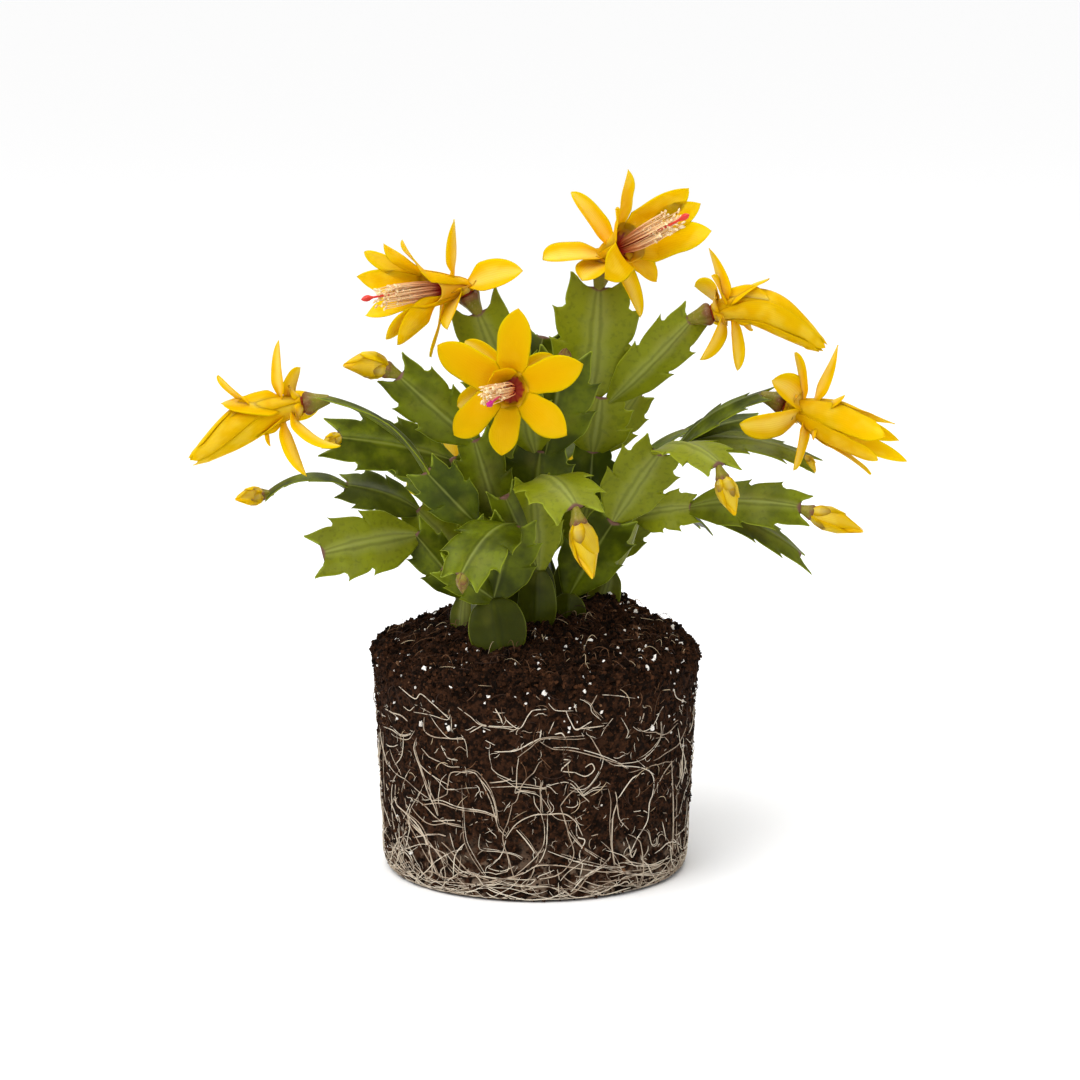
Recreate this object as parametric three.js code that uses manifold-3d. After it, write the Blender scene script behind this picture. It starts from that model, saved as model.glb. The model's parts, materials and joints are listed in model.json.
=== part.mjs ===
// A yellow-flowered Christmas cactus lifted out of its pot, on its bare root ball.
// Millimetres, +Z up, +X to the right and -Y towards the viewer. The origin is the middle of the
// root ball's flat underside. Flat toothed stem joints grow out of each other in chains, and the
// blooms and buds hang on the ends of the last joints.
import * as THREE from "three";
import { mergeVertices } from "three/addons/utils/BufferGeometryUtils.js";
import Module from "manifold-3d";

const wasm = await Module();
wasm.setup();

// The root ball kept the shape of a 13 cm nursery pot. Its outline is given as radius and height.
const BALL = { rimHeight: 87, rimRadius: 62.5, crown: 12, sides: 40, lump: 1.3 };
const OUTLINE = [[52, 0], [56.3, 1.8], [58.3, 6], [62.4, 84], [61, 87.5]];
const CROWN_RINGS = [{ radius: 57, sides: 40 }, { radius: 42, sides: 20 }, { radius: 22, sides: 10 }];
const MOUNDS = [{ x: 31, y: 20, spread: 15, height: 3.5 }, { x: -30, y: 20, spread: 14, height: 2 }];
const ROOT = { width: 1.5, sunk: 0.6, proud: 0.65, wander: 23, lowest: 3.5, highest: 66 };
const JOINT = { thickness: 2.4 };
const SOCKET_GAP = 0.5;
const SEAT_GAP = 0.35;
const OVARY = { length: 8, baseRadius: 2.1, rimRadius: 4.4, sunk: 1.6 };
// A tepal's half width at steps along it, as shares, and how far its edges curl back.
const TEPAL = { thickness: 1.0, steps: [0, 0.35, 0.75, 1], widths: [0, 0.92, 0.85, 0], curl: 0.14 };
// The corolla's wall, and its radius between two lobes as a share of its radius at a lobe.
const COROLLA = { wall: 1.2, valley: 0.94 };
// A bloom's axis bends from its stalk to its mouth between these two heights.
const BEND = [9, 30];
const STAMENS = {
  count: 7, ring: [1.25, 2.7], thick: 1.1, length: 27, spread: 6, radius: 0.5, anther: 0.95,
};
const STYLE = { length: 33, radius: 0.7 };
const COLOUR = {
  soil: 0x2e1d14,
  stem: 0x5d7a16,
  petal: 0xf7b90c,
  ovary: 0x8a6a3a,
  stamen: 0xf6d9b0,
  style: 0xc2185b,
};

const vector = (p) => new THREE.Vector3(...p);

// A repeatable stream of numbers from 0 to 1.
function stream(seed) {
  let state = seed >>> 0;
  return () => {
    state = (state + 0x6d2b79f5) >>> 0;
    let t = state;
    t = Math.imul(t ^ (t >>> 15), t | 1);
    t ^= t + Math.imul(t ^ (t >>> 7), t | 61);
    return ((t ^ (t >>> 14)) >>> 0) / 4294967296;
  };
}

// Solids and geometries

function signedVolume(positions, triangles) {
  const corner = (i) => new THREE.Vector3().fromArray(positions, 3 * i);
  let sum = 0;
  for (let i = 0; i < triangles.length; i += 3)
    sum += corner(triangles[i]).dot(corner(triangles[i + 1]).cross(corner(triangles[i + 2]))) / 6;
  return sum;
}

// A solid whose faces look outward, whichever way round its triangles came.
function solidFrom(positions, triangles) {
  const faces = Uint32Array.from(triangles);
  if (signedVolume(positions, faces) < 0)
    for (let i = 0; i < faces.length; i += 3) [faces[i], faces[i + 1]] = [faces[i + 1], faces[i]];
  const vertProperties = Float32Array.from(positions);
  return new wasm.Manifold(new wasm.Mesh({ numProp: 3, vertProperties, triVerts: faces }));
}

const joined = (solids) => solids.reduce((whole, one) => whole.add(one));

function solidOf(geometry, matrix = new THREE.Matrix4()) {
  const bare = geometry.clone().applyMatrix4(matrix);
  bare.deleteAttribute("normal");
  bare.deleteAttribute("uv");
  const merged = mergeVertices(bare, 1e-4);
  return solidFrom(merged.attributes.position.array, merged.index.array);
}

function geometryOf(solid) {
  const mesh = solid.getMesh();
  const geometry = new THREE.BufferGeometry();
  geometry.setAttribute("position", new THREE.BufferAttribute(mesh.vertProperties, 3));
  geometry.setIndex(new THREE.BufferAttribute(mesh.triVerts, 1));
  geometry.computeVertexNormals();
  return geometry;
}

// Skins the gap between two stations of a blade, each a left edge, an upper middle, a right edge and
// a lower middle, or a single point. Both faces split alike, from a middle to the next edge.
function skinBlade(triangles, a, b) {
  for (let i = 0; i < 4; i++) {
    const j = (i + 1) % 4;
    if (b.length === 1) triangles.push(a[i], a[j], b[0]);
    else if (a.length === 1) triangles.push(a[0], b[j], b[i]);
    else if (i % 2 === 0) triangles.push(a[i], a[j], b[i], a[j], b[j], b[i]);
    else triangles.push(a[i], a[j], b[j], a[i], b[j], b[i]);
  }
}

// A blade from its stations, which starts in a point and ends in a point or a straight edge.
function bladeFrom(stations) {
  const positions = [];
  const triangles = [];
  const rings = stations.map((station) =>
    station.map((p) => {
      positions.push(p.x, p.y, p.z);
      return positions.length / 3 - 1;
    }),
  );
  rings.slice(1).forEach((ring, k) => skinBlade(triangles, rings[k], ring));
  const end = rings[rings.length - 1];
  if (end.length === 4) triangles.push(end[0], end[1], end[2], end[0], end[2], end[3]);
  return solidFrom(positions, triangles);
}

// A thread of three sides from its rings of three points.
function threadFrom(rings) {
  const positions = rings.flat().flatMap((p) => p.toArray());
  const triangles = [0, 2, 1];
  for (let k = 0; k < 3 * (rings.length - 1); k += 3)
    for (let i = 0; i < 3; i++) {
      const j = (i + 1) % 3;
      triangles.push(k + i, k + j, k + 3 + j, k + i, k + 3 + j, k + 3 + i);
    }
  const last = 3 * (rings.length - 1);
  triangles.push(last, last + 1, last + 2);
  return solidFrom(positions, triangles);
}

// Stem joints

// Margins of a joint as shares of its length and half width: how far along the edge point is, how
// far across, and how far along the middle of the same station is. The first one is a point.
const LEAF = [
  [-0.06, 0, -0.06], [0.08, 0.46, 0.07], [0.25, 0.82, 0.22], [0.52, 1.04, 0.42], [0.535, 0.86, 0.52],
  [0.82, 1.0, 0.66], [0.835, 0.78, 0.75], [1.09, 0.66, 0.8], [0.985, 0.36, 0.985],
];
const OLD = [
  [-0.2, 0, -0.2], [0.16, 0.52, 0.16], [0.36, 0.9, 0.36], [0.6, 1.0, 0.6], [0.84, 0.78, 0.84],
  [0.97, 0.36, 0.97],
];

// A joint of a stem, up to its apex. It grows from the apex of the joint with the number parent, or
// out of the soil at from. face is the side that it turns its flat to, bow is how far its middle is
// arched out to that side, and beside moves its neck along the parent's apex.
const grown = (parent, to, width, face, bow = 2, beside = 0) => ({
  parent, to, width, face, bow, beside, margin: LEAF,
});
const rooted = (from, to, width, face, bow = 1) => ({ from, to, width, face, bow, margin: OLD });

function spineOf({ from, to, face, bow }) {
  const start = vector(from);
  const chord = vector(to).sub(start);
  const length = chord.length();
  const along = chord.clone().normalize();
  const hint = vector(face);
  const normal = hint.addScaledVector(along, -hint.dot(along)).normalize();
  const across = along.clone().cross(normal);
  const at = (t) => {
    const u = Math.min(Math.max(t, 0), 1);
    const slope = (bow * 4 * (1 - 2 * u)) / length;
    const tangent = along.clone().addScaledVector(normal, slope).normalize();
    const point = start.clone().addScaledVector(chord, u).addScaledVector(normal, bow * 4 * u * (1 - u));
    point.addScaledVector(tangent, (t - u) * length);
    return { point, tangent, face: normal.clone().addScaledVector(along, -slope).normalize(), across };
  };
  return { at, length };
}

// The solid of a joint. grow makes it that much larger all round, for cutting a seat against it.
function jointSolid(spec, grow = 0) {
  const { at, length } = spineOf(spec);
  const random = stream(spec.seed);
  const shift = () => (random() - 0.5) * 0.06;
  const half = spec.width / 2;
  const last = spec.margin.length - 1;
  const edges = [-1, 1].map((side) =>
    spec.margin.map(([along, out], k) => ({
      along: along + (k > 2 && k < last ? shift() : 0),
      out: side * (out * (1 + shift()) * half + grow * 1.5),
    })),
  );
  const stations = spec.margin.map(([, , middle], k) => {
    const push = ((k === last) - (k === 0)) * (grow / length);
    const { point, face } = at(middle + push);
    if (k === 0) return [point];
    const end = Math.abs(middle - 0.5) * 2;
    const thick = (JOINT.thickness * (1 - 0.25 * end * end)) / 2 + grow;
    const [left, right] = edges.map((edge) => {
      const frame = at(edge[k].along + push);
      return frame.point.clone().addScaledVector(frame.across, edge[k].out);
    });
    const crest = (way) => point.clone().addScaledVector(face, way * thick);
    return [left, crest(1), right, crest(-1)];
  });
  return bladeFrom(stations);
}

const FRONT = [0, -1, 0.15];
const UP = [0, -0.35, 1];
const BACK = [0, 1, 0.3];

// Every stem as its joints, lowest first. Positions are millimetres.
const STEMS = {
  front_left: [
    rooted([-12, -36, 84], [-16, -33, 112], 22, FRONT),
    grown(0, [-8, -38, 141], 24, FRONT, -2),
    grown(1, [-27, -59, 124], 25, [0, -0.5, 1], 6),
    grown(0, [-35, -41, 125], 13, [0.3, -1, 0.3], 1),
  ],
  left_low: [
    rooted([-27, -8, 84], [-26, -6, 108], 13, [-0.6, -1, 0]),
    grown(0, [-46, -10, 132], 17, FRONT, 2),
    grown(1, [-81, -22, 126], 25, [0, -1, 0.5], 3),
  ],
  front_centre: [
    rooted([0, -15, 88], [1, -17, 120], 15, FRONT),
    grown(0, [-1, -28, 155], 20, FRONT, -2),
    grown(1, [15, -62, 150], 29, UP, 6),
    grown(0, [-12, -27, 150], 17, [0.2, -1, 0], -1),
  ],
  right_centre: [
    rooted([12, 1, 88], [13, 0, 107], 14, FRONT),
    grown(0, [30, -8, 137], 24, [0.2, -1, 0.1], -2),
    grown(1, [47, -16, 165], 25, [0.3, -1, 0.1], -2),
    grown(2, [68, -46, 163], 24, [0, -0.2, 1], 5),
  ],
  right_low: [
    rooted([22, 13, 86], [30, 10, 114], 13, [-0.3, -1, 0]),
    grown(0, [39, 6, 136], 13, [1, -0.4, -0.3], 1),
    grown(1, [60, -2, 140], 17, [0, -1, 0.6], 2),
    grown(2, [101, -14, 142], 19, [0, -1, 0.7], 5),
    grown(2, [102, 8, 119], 17, [0, -0.5, 1], 4),
    grown(1, [65, 22, 128], 15, [0, -0.15, 1], 5),
  ],
  right_high: [
    rooted([22, 27, 86], [27, 27, 115], 14, FRONT),
    grown(0, [43, 24, 140], 19, FRONT, 1),
    grown(1, [57, 18, 162], 15, [1, -0.4, -0.5], 1),
    grown(2, [88, 8, 182], 17, [0, -0.3, 1], 3),
    grown(2, [88, 34, 168], 17, [0, -0.6, 1], 3),
    grown(2, [105, 12, 156], 18, [0, -0.3, 1], 5),
  ],
  right_upright: [
    rooted([10, 16, 88], [15, 17, 118], 14, FRONT),
    grown(0, [21, 13, 141], 19, FRONT, 1),
    grown(1, [22, 8, 161], 20, FRONT, 1),
    grown(2, [25, 2, 183], 26, FRONT, 1),
    grown(3, [24, -4, 226], 32, FRONT, 2, -4),
    grown(3, [59, -8, 214], 19, [0.2, -1, 0], 2, 4),
    grown(2, [40, 22, 181], 18, FRONT, 1),
  ],
  centre: [
    rooted([1, -1, 88], [1, -5, 121], 14, FRONT),
    grown(0, [-1, -9, 142], 21, FRONT, 1),
    grown(1, [2, -14, 165], 27, FRONT, 1),
    grown(2, [11, -22, 201], 29, FRONT, 2, 2),
    grown(2, [-5, -27, 189], 20, [-0.1, -1, -0.3], 1, -2),
  ],
  left_upright: [
    rooted([-8, 9, 88], [-10, 8, 120], 14, FRONT),
    grown(0, [-11, 5, 142], 19, FRONT, 1),
    grown(1, [-4, 0, 173], 22, FRONT, 1),
    grown(2, [-22, -8, 217], 29, FRONT, 2),
    grown(2, [3, 10, 205], 20, FRONT, 1),
  ],
  left_middle: [
    rooted([-10, -9, 88], [-10, -11, 119], 13, [-0.5, -1, 0]),
    grown(0, [-14, -17, 139], 17, FRONT, 1),
    grown(1, [-23, -24, 171], 19, FRONT, 1),
    grown(2, [-51, -32, 196], 21, [-0.1, -1, 0.1], 2),
  ],
  left_arching: [
    rooted([-20, -18, 88], [-19, -21, 121], 13, [-1, -1, 0]),
    grown(0, [-23, -28, 141], 15, [-0.8, -1, 0], 1),
    grown(1, [-41, -37, 161], 19, [-0.5, -1, 0.6], 1),
    grown(2, [-78, -42, 188], 17, [-0.5, 0, 1], 5),
  ],
  left_back: [
    rooted([-17, 14, 88], [-21, 14, 119], 14, FRONT),
    grown(0, [-33, 6, 159], 22, FRONT, 1),
    grown(1, [-76, -8, 168], 23, [0, -1, 0.6], 3),
  ],
  left_trailing: [
    rooted([-21, 3, 88], [-27, 4, 117], 13, FRONT),
    grown(0, [-46, 2, 139], 19, [0, -1, 0.4], 1),
    grown(1, [-73, 0, 148], 18, [0, -0.8, 0.8], 3),
    grown(2, [-101, -4, 146], 13, [0, 0.02, 1], 5),
  ],
  back_centre: [
    rooted([2, 24, 88], [4, 27, 117], 17, [0.9, 0.5, 0]),
    grown(0, [5, 44, 147], 24, [-0.9, 0.5, 0.3], 2),
    grown(1, [6, 78, 160], 24, [0, 0.5, 1], 4),
  ],
  back_left: [
    rooted([-14, 26, 88], [-18, 30, 115], 16, [-0.8, 0.6, 0]),
    grown(0, [-30, 46, 138], 22, [-0.7, 0.7, 0.3], 2),
    grown(1, [-32, 76, 136], 22, [0, 0.5, 1], 4, -2),
    grown(1, [-57, 56, 158], 22, [-0.7, 1, 0.4], 2, 2),
  ],
  back_right: [
    rooted([16, 33, 87], [22, 37, 114], 16, [0.9, 0.5, 0]),
    grown(0, [38, 52, 144], 22, [0.8, 0.4, -0.3], 2),
    grown(1, [60, 70, 158], 22, [0.3, 0.5, 1], 3),
    grown(2, [84, 80, 154], 19, [0.2, 0.3, 1], 4),
  ],
  back_upright: [
    rooted([-4, 19, 88], [-5, 21, 120], 15, BACK),
    grown(0, [-6, 26, 158], 24, [0.9, 0.6, 0], 1),
    grown(1, [-14, 40, 193], 26, [-0.6, 1, 0.2], 2, -2),
    grown(1, [12, 48, 184], 22, [0.8, 1, 0.2], 2, 2),
  ],
};

// The neck of every grown joint sits just inside its parent's apex.
Object.values(STEMS).forEach((joints, stem) =>
  joints.forEach((spec, k) => {
    spec.seed = 101 + 31 * stem + k;
    if (spec.from) return;
    const apex = spineOf(joints[spec.parent]).at(0.955);
    spec.from = apex.point.addScaledVector(apex.across, spec.beside).toArray();
  }),
);

const stemSolid = (stem) => joined(STEMS[stem].map((spec) => jointSolid(spec)));

// Root ball

function crownHeight(x, y) {
  const r = Math.hypot(x, y) / BALL.rimRadius;
  const mound = (m) => m.height * Math.exp(-((x - m.x) ** 2 + (y - m.y) ** 2) / m.spread ** 2);
  const mounds = MOUNDS.reduce((sum, m) => sum + mound(m), 0);
  return BALL.rimHeight + (BALL.crown + mounds) * Math.max(0, 1 - r ** 4);
}

function wallRadius(z) {
  const k = Math.max(1, OUTLINE.findIndex(([, height]) => height >= z));
  const [[r0, z0], [r1, z1]] = [OUTLINE[k - 1], OUTLINE[k]];
  return r0 + ((r1 - r0) * (z - z0)) / (z1 - z0);
}

function ballSolid() {
  const random = stream(7);
  const positions = [0, 0, 0];
  const ring = (sides, radius, height, lump) => {
    const first = positions.length / 3;
    for (let k = 0; k < sides; k++) {
      const angle = (2 * Math.PI * (k + 0.5)) / sides;
      const r = radius + (random() - 0.5) * lump * 0.4;
      const [x, y] = [r * Math.cos(angle), r * Math.sin(angle)];
      const rise = height(x, y) > BALL.rimHeight ? (random() - 0.5) * 2 * lump : 0;
      positions.push(x, y, height(x, y) + rise);
    }
    return { first, sides };
  };
  const rings = OUTLINE.map(([radius, z]) => ring(BALL.sides, radius, () => z, z > 5 ? BALL.lump : 0));
  rings.push(...CROWN_RINGS.map(({ radius, sides }) => ring(sides, radius, crownHeight, BALL.lump)));
  positions.push(0, 0, crownHeight(0, 0));
  const top = positions.length / 3 - 1;
  const triangles = [];
  const at = (r, k) => r.first + (k % r.sides);
  rings.forEach((lower, row) => {
    const upper = rings[row + 1];
    for (let k = 0; k < lower.sides; k++) {
      const [a, b] = [at(lower, k), at(lower, k + 1)];
      if (row === 0) triangles.push(0, b, a);
      if (!upper) triangles.push(a, b, top);
      else if (upper.sides === lower.sides) {
        triangles.push(a, b, at(upper, k + 1));
        triangles.push(a, at(upper, k + 1), at(upper, k));
      } else {
        const half = Math.floor(k / 2);
        triangles.push(a, b, at(upper, half));
        if (k % 2 === 1) triangles.push(b, at(upper, half + 1), at(upper, half));
      }
    }
  });
  return solidFrom(positions, triangles);
}

// The roots that stand out on the front, each as points of millimetres round the wall from the
// middle of the front, to the right, and millimetres up.
const FRONT_ROOTS = [
  [[-28, 44], [-27, 33], [-27, 22], [-30, 16], [-33, 8]],
  [[-27, 22], [-23, 16], [-17, 9]],
  [[-50, 60], [-49, 52], [-45, 44], [-43, 38], [-39, 31]],
  [[-45, 66], [-41, 64], [-34, 62], [-28, 62], [-25, 56]],
  [[-30, 49], [-24, 50], [-17, 45], [-14, 36], [-11, 27]],
  [[-17, 46], [-7, 48], [2, 44], [4, 36], [5, 28], [4, 20], [0, 13]],
  [[3, 44], [2, 35], [3, 26], [0, 17], [-7, 12]],
  [[-11, 25], [-5, 32], [2, 35], [11, 35], [16, 31], [20, 21], [29, 13]],
  [[5, 36], [5, 43], [10, 47], [19, 42], [29, 43], [29, 33], [30, 20], [31, 12]],
  [[32, 39], [37, 45], [47, 47], [51, 37], [49, 30], [43, 24], [38, 18]],
  [[3, 63], [13, 60], [25, 55], [35, 52], [43, 52], [47, 47]],
  [[22, 63], [26, 56], [23, 48], [18, 45]],
  [[-61, 28], [-50, 23], [-44, 15], [-40, 7]],
  [[-51, 4], [-29, 6], [-14, 10], [0, 15], [12, 16], [25, 11], [43, 10], [58, 5]],
  [[-35, 4], [-19, 8], [-5, 7], [8, 5], [22, 4], [37, 6]],
];

// Roots round the rest of the wall wander down from random starts and run on along the foot.
function wanderingRoots() {
  const random = stream(19);
  const roots = [];
  for (let k = 0; k < ROOT.wander; k++) {
    let around = 62 + (258 * (k + random())) / ROOT.wander;
    let up = ROOT.lowest + (ROOT.highest - ROOT.lowest) * random() ** 1.5;
    let heading = -Math.PI / 2 + (random() - 0.5) * (k % 3 === 0 ? 3 : 1.4);
    const points = [[around, up]];
    for (let step = 0; step < 4 + (k % 3); step++) {
      heading += (random() - 0.5) * 1.3;
      around += 8 * Math.cos(heading);
      up = Math.max(ROOT.lowest, up + 8 * Math.sin(heading));
      if (up === ROOT.lowest) heading = Math.cos(heading) > 0 ? 0.1 : Math.PI - 0.1;
      points.push([around, Math.min(up, ROOT.highest)]);
    }
    roots.push(points);
  }
  return roots;
}

// A root is a three-sided tube with two of its edges sunk in the wall and one standing out.
function rootSolid(points) {
  const places = points.map(([around, up]) => {
    const angle = around / wallRadius(30);
    const out = new THREE.Vector3(Math.sin(angle), -Math.cos(angle), 0);
    return { out, point: out.clone().multiplyScalar(wallRadius(up) - 0.15).setZ(up) };
  });
  const rings = places.map(({ out, point }, k) => {
    const before = places[Math.max(0, k - 1)].point;
    const after = places[Math.min(places.length - 1, k + 1)].point;
    const side = out.clone().cross(after.clone().sub(before)).normalize();
    const taper = k === 0 || k === places.length - 1 ? 0.4 : 1;
    const foot = (way) =>
      point.clone().addScaledVector(out, -ROOT.sunk).addScaledVector(side, (way * taper * ROOT.width) / 2);
    return [point.clone().addScaledVector(out, ROOT.proud * taper), foot(1), foot(-1)];
  });
  return threadFrom(rings);
}

// The soil with its net of roots, and a plain hole for the foot of each stem.
function rootBallSolid() {
  const roots = [...FRONT_ROOTS, ...wanderingRoots()].map(rootSolid);
  const feet = Object.values(STEMS).map((joints) => jointSolid(joints[0], SOCKET_GAP));
  return joined([ballSolid(), ...roots]).subtract(joined(feet));
}

// Blooms and buds

// A tepal: the turn round the bloom's axis and its lean away from it in degrees, the height where
// it leaves the tube, and its length and width in millimetres.
// twist turns its blade edge over by that many degrees.
const tepal = (turn, start, length, width, lean, tipLean, twist = 0) => ({
  turn, start, length, width, lean, tipLean, twist,
});

// Lobes of a corolla that part at its rim, evenly round it.
const lobes = (count, length, width, lean, tipLean) =>
  Array.from({ length: count }, (_, k) => {
    const odd = k % 2;
    const turn = (360 * k) / count + 4 * odd;
    return tepal(turn, 0, length * (1 - 0.14 * odd), width, lean + 4 * odd, tipLean + 6 * odd);
  });

// A lobe of its own turn and leans.
const lobe = (turn, length, width, lean, tipLean) => tepal(turn, 0, length, width, lean, tipLean);

// Corollas: rings of height and radius up to where the lobes part, and the floor inside.
const CLOSED = {
  rings: [[8.3, 3.2], [14, 4.1], [22, 6.2], [30, 7], [38, 6.3], [47, 4.3]],
  floor: [36, 3.4],
  lobes: lobes(5, 9, 4.3, -12, -20),
};
const LOOSE = {
  rings: [[8.3, 3.2], [14, 4], [22, 7], [30, 9.2], [37, 9.4]],
  floor: [33, 5.5],
  lobes: lobes(6, 20, 11, 4, 12),
};
const PARTING = {
  rings: [[8.3, 3.2], [14, 4], [22, 7], [28, 8.6], [32, 8.8]],
  floor: [27, 5.2],
  lobes: [
    lobe(27, 18, 8, -3, 5), lobe(77, 22, 6.5, 0, 4), lobe(118, 28, 6.5, -3, -3), lobe(178, 18, 8, 6, 16),
    lobe(230, 18, 8.5, -6, 0), lobe(300, 17, 9, 0, 6),
  ],
};
const FLARED = {
  rings: [[8.3, 3.2], [14, 3.8], [20, 5.6], [27, 7.2]],
  floor: [20, 3.9],
  lobes: [
    lobe(25, 20, 10, 38, 58), lobe(172, 20, 9, 17, 37), lobe(242, 22, 9, 35, 51), lobe(279, 24, 9, 38, 50),
    lobe(346, 18, 11, 26, 46),
  ],
};
const OPEN = {
  rings: [[8.3, 3.2], [14, 3.8], [22, 6.4], [28, 11.5]],
  floor: [20, 3.6],
  lobes: [
    lobe(44, 22, 11, 11, 23), lobe(85, 22, 10, 13, 25), lobe(122, 20, 10, 26, 38), lobe(244, 17, 12, 72, 92),
    lobe(303, 12, 8, 34, 54), lobe(338, 20, 9, 39, 53),
  ],
};
const STAR = {
  rings: [[8.3, 3.2], [14, 4.2], [18, 6.5], [20.5, 11]],
  floor: [16, 3.6],
  lobes: [
    lobe(8, 20, 12, 69, 81), lobe(70, 20, 12.5, 68, 80), lobe(124, 18, 12, 62, 74), lobe(183, 14, 10.5, 59, 71),
    lobe(230, 16, 11, 88, 100), lobe(302, 20, 12, 68, 80),
  ],
};

// The blooms sit on joint ends. Each one leaves its ovary along stalk and bends until its mouth
// points along axis.
const BLOOMS = [
  {
    name: "left", stem: "left_arching", tip: 3, form: CLOSED,
    stalk: [-1, -0.05, -0.2], axis: [-1, -0.15, -0.72], bend: [14, 38],
    tepals: [
      tepal(9, 16, 26, 7, 92, 104, 30), tepal(325, 14, 16, 8, 104, 124, -20),
      tepal(10, 24, 22, 7, 59, 67, 30), tepal(168, 16, 26, 7, 81, 106, 30), tepal(140, 13, 26, 10, 90, 150),
      tepal(169, 22, 12, 6, 70, 80), tepal(260, 12, 22, 10, 80, 140), tepal(356, 19, 19, 10, 20, 30),
    ],
  },
  {
    name: "upper_left", stem: "left_upright", tip: 3, form: FLARED,
    stalk: [-0.45, -0.15, 0.8], axis: [-1, -0.5, -0.03], bend: [8.5, 14],
    tepals: [
      tepal(2, 15, 25, 9, 97, 89, 30), tepal(40, 11, 24, 11, 106, 126, 20),
      tepal(177, 18.5, 26, 6, 86, 66, 30), tepal(153, 11, 19, 9, 79, 94), tepal(250, 10, 22, 10, 90, 140),
    ],
  },
  {
    name: "top", stem: "right_upright", tip: 4, form: OPEN,
    stalk: [0.2, -0.1, 1], axis: [0.74, -0.62, 0.36], bend: [9, 17],
    tepals: [
      tepal(331, 17, 27, 10, 85, 100), tepal(293, 12, 26, 12, 94, 109), tepal(184, 15, 28, 9, 75, 90),
      tepal(255, 10, 20, 10, 91, 111), tepal(140, 16, 22, 9, 75, 95),
    ],
  },
  {
    name: "front", stem: "centre", tip: 4, form: STAR,
    stalk: [-0.25, -0.92, 0.2], axis: [-0.12, -1, -0.02],
    tepals: [tepal(52, 13, 20, 10, 78, 90), tepal(315, 13, 25, 10, 76, 90), tepal(253, 14, 21, 10, 78, 90)],
  },
  {
    name: "upper_right", stem: "right_upright", tip: 5, form: CLOSED,
    stalk: [1, -0.1, 0.3], axis: [1, -0.15, -0.68], bend: [12, 38],
    tepals: [
      tepal(351, 14, 24, 8, 82, 94, 30), tepal(332, 13.5, 16, 7, 80, 100), tepal(216, 13, 22, 10, 107, 137),
      tepal(173, 15, 24, 7, 91, 101, 30), tepal(141, 15, 14, 10, 59, 69),
      tepal(60, 12, 22, 10, 85, 130), tepal(100, 12, 22, 9, 85, 130), tepal(0, 16, 18, 10, 14, 26),
    ],
  },
  {
    name: "right", stem: "right_high", tip: 3, form: PARTING,
    stalk: [1, -0.15, -0.33], axis: [1, -0.2, -0.42],
    tepals: [
      tepal(326, 16, 18, 13, 114, 170), tepal(359, 18, 28, 7, 81, 91, 30), tepal(4, 16, 22, 7, 112, 122, 30),
      tepal(240, 16, 29, 13, 110, 150), tepal(210, 17, 24, 7, 74, 84, 30), tepal(100, 14, 21, 10, 80, 130),
      tepal(345, 18, 16, 9, 42, 50), tepal(225, 18, 12, 6, 53, 63),
    ],
  },
  {
    name: "back_centre", stem: "back_centre", tip: 2, form: LOOSE,
    stalk: [0, 1, 0.1], axis: [0.05, 1, -0.35],
    tepals: [
      tepal(0, 10, 24, 10, 90, 120), tepal(80, 12, 23, 10, 85, 120), tepal(150, 10, 23, 9, 90, 125),
      tepal(215, 12, 22, 10, 85, 120), tepal(290, 10, 23, 9, 90, 130),
    ],
  },
  {
    name: "back_left", stem: "back_left", tip: 2, form: CLOSED,
    stalk: [-0.1, 1, 0.1], axis: [-0.2, 1, -0.3],
    tepals: [
      tepal(10, 10, 23, 9, 90, 120), tepal(95, 10, 22, 10, 85, 130), tepal(170, 12, 20, 8, 80, 110),
      tepal(235, 10, 22, 9, 90, 140), tepal(300, 14, 22, 9, 60, 80),
    ],
  },
];
const BUDS = [
  { name: "left_high", stem: "left_middle", tip: 3, axis: [-1, -0.1, 0.18], length: 15.5, width: 10 },
  { name: "left_low", stem: "left_trailing", tip: 3, axis: [-1, -0.1, -0.15], length: 10, width: 7 },
  { name: "front", stem: "front_centre", tip: 2, axis: [0.25, -0.2, -1], length: 20, width: 10 },
  { name: "right_front", stem: "right_centre", tip: 3, axis: [0.35, -0.1, -1], length: 14, width: 8 },
  { name: "right_low", stem: "right_low", tip: 3, axis: [1, -0.1, -0.35], length: 20, width: 9 },
];
const SMALL_BUDS = [
  { name: "left_back", stem: "left_back", tip: 2, axis: [-1, -0.3, -0.5], length: 7, width: 6 },
  { name: "right_back", stem: "right_high", tip: 5, axis: [0.5, -0.2, -0.6], length: 6, width: 5 },
  { name: "front_left", stem: "front_left", tip: 2, axis: [0, -0.3, -1], length: 6, width: 4.5 },
  { name: "centre", stem: "centre", tip: 3, axis: [0.1, -0.6, 1], length: 5, width: 5 },
];

// The axis of a bloom or bud, as its frame at a height: the point, the way out along the axis, and
// up and side at right angles to it.
function axisOf({ stem, tip, stalk, axis, bend = BEND }) {
  const seat = spineOf(STEMS[stem][tip]).at(0.985).point;
  const [first, last] = [stalk ?? axis, axis].map((way) => vector(way).normalize());
  const direction = (height) => {
    const share = THREE.MathUtils.smoothstep(height, ...bend);
    return first.clone().lerp(last, share).normalize();
  };
  const upright = new THREE.Vector3(0, 0, 1).addScaledVector(last, -last.z).normalize();
  return (height) => {
    const point = seat.clone();
    const steps = Math.ceil(Math.abs(height)) || 1;
    for (let k = 0; k < steps; k++)
      point.addScaledVector(direction(((k + 0.5) * height) / steps), height / steps);
    const out = direction(height);
    const up = upright.clone().applyQuaternion(new THREE.Quaternion().setFromUnitVectors(last, out));
    return { point, out, up, side: up.clone().cross(out) };
  };
}

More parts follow.
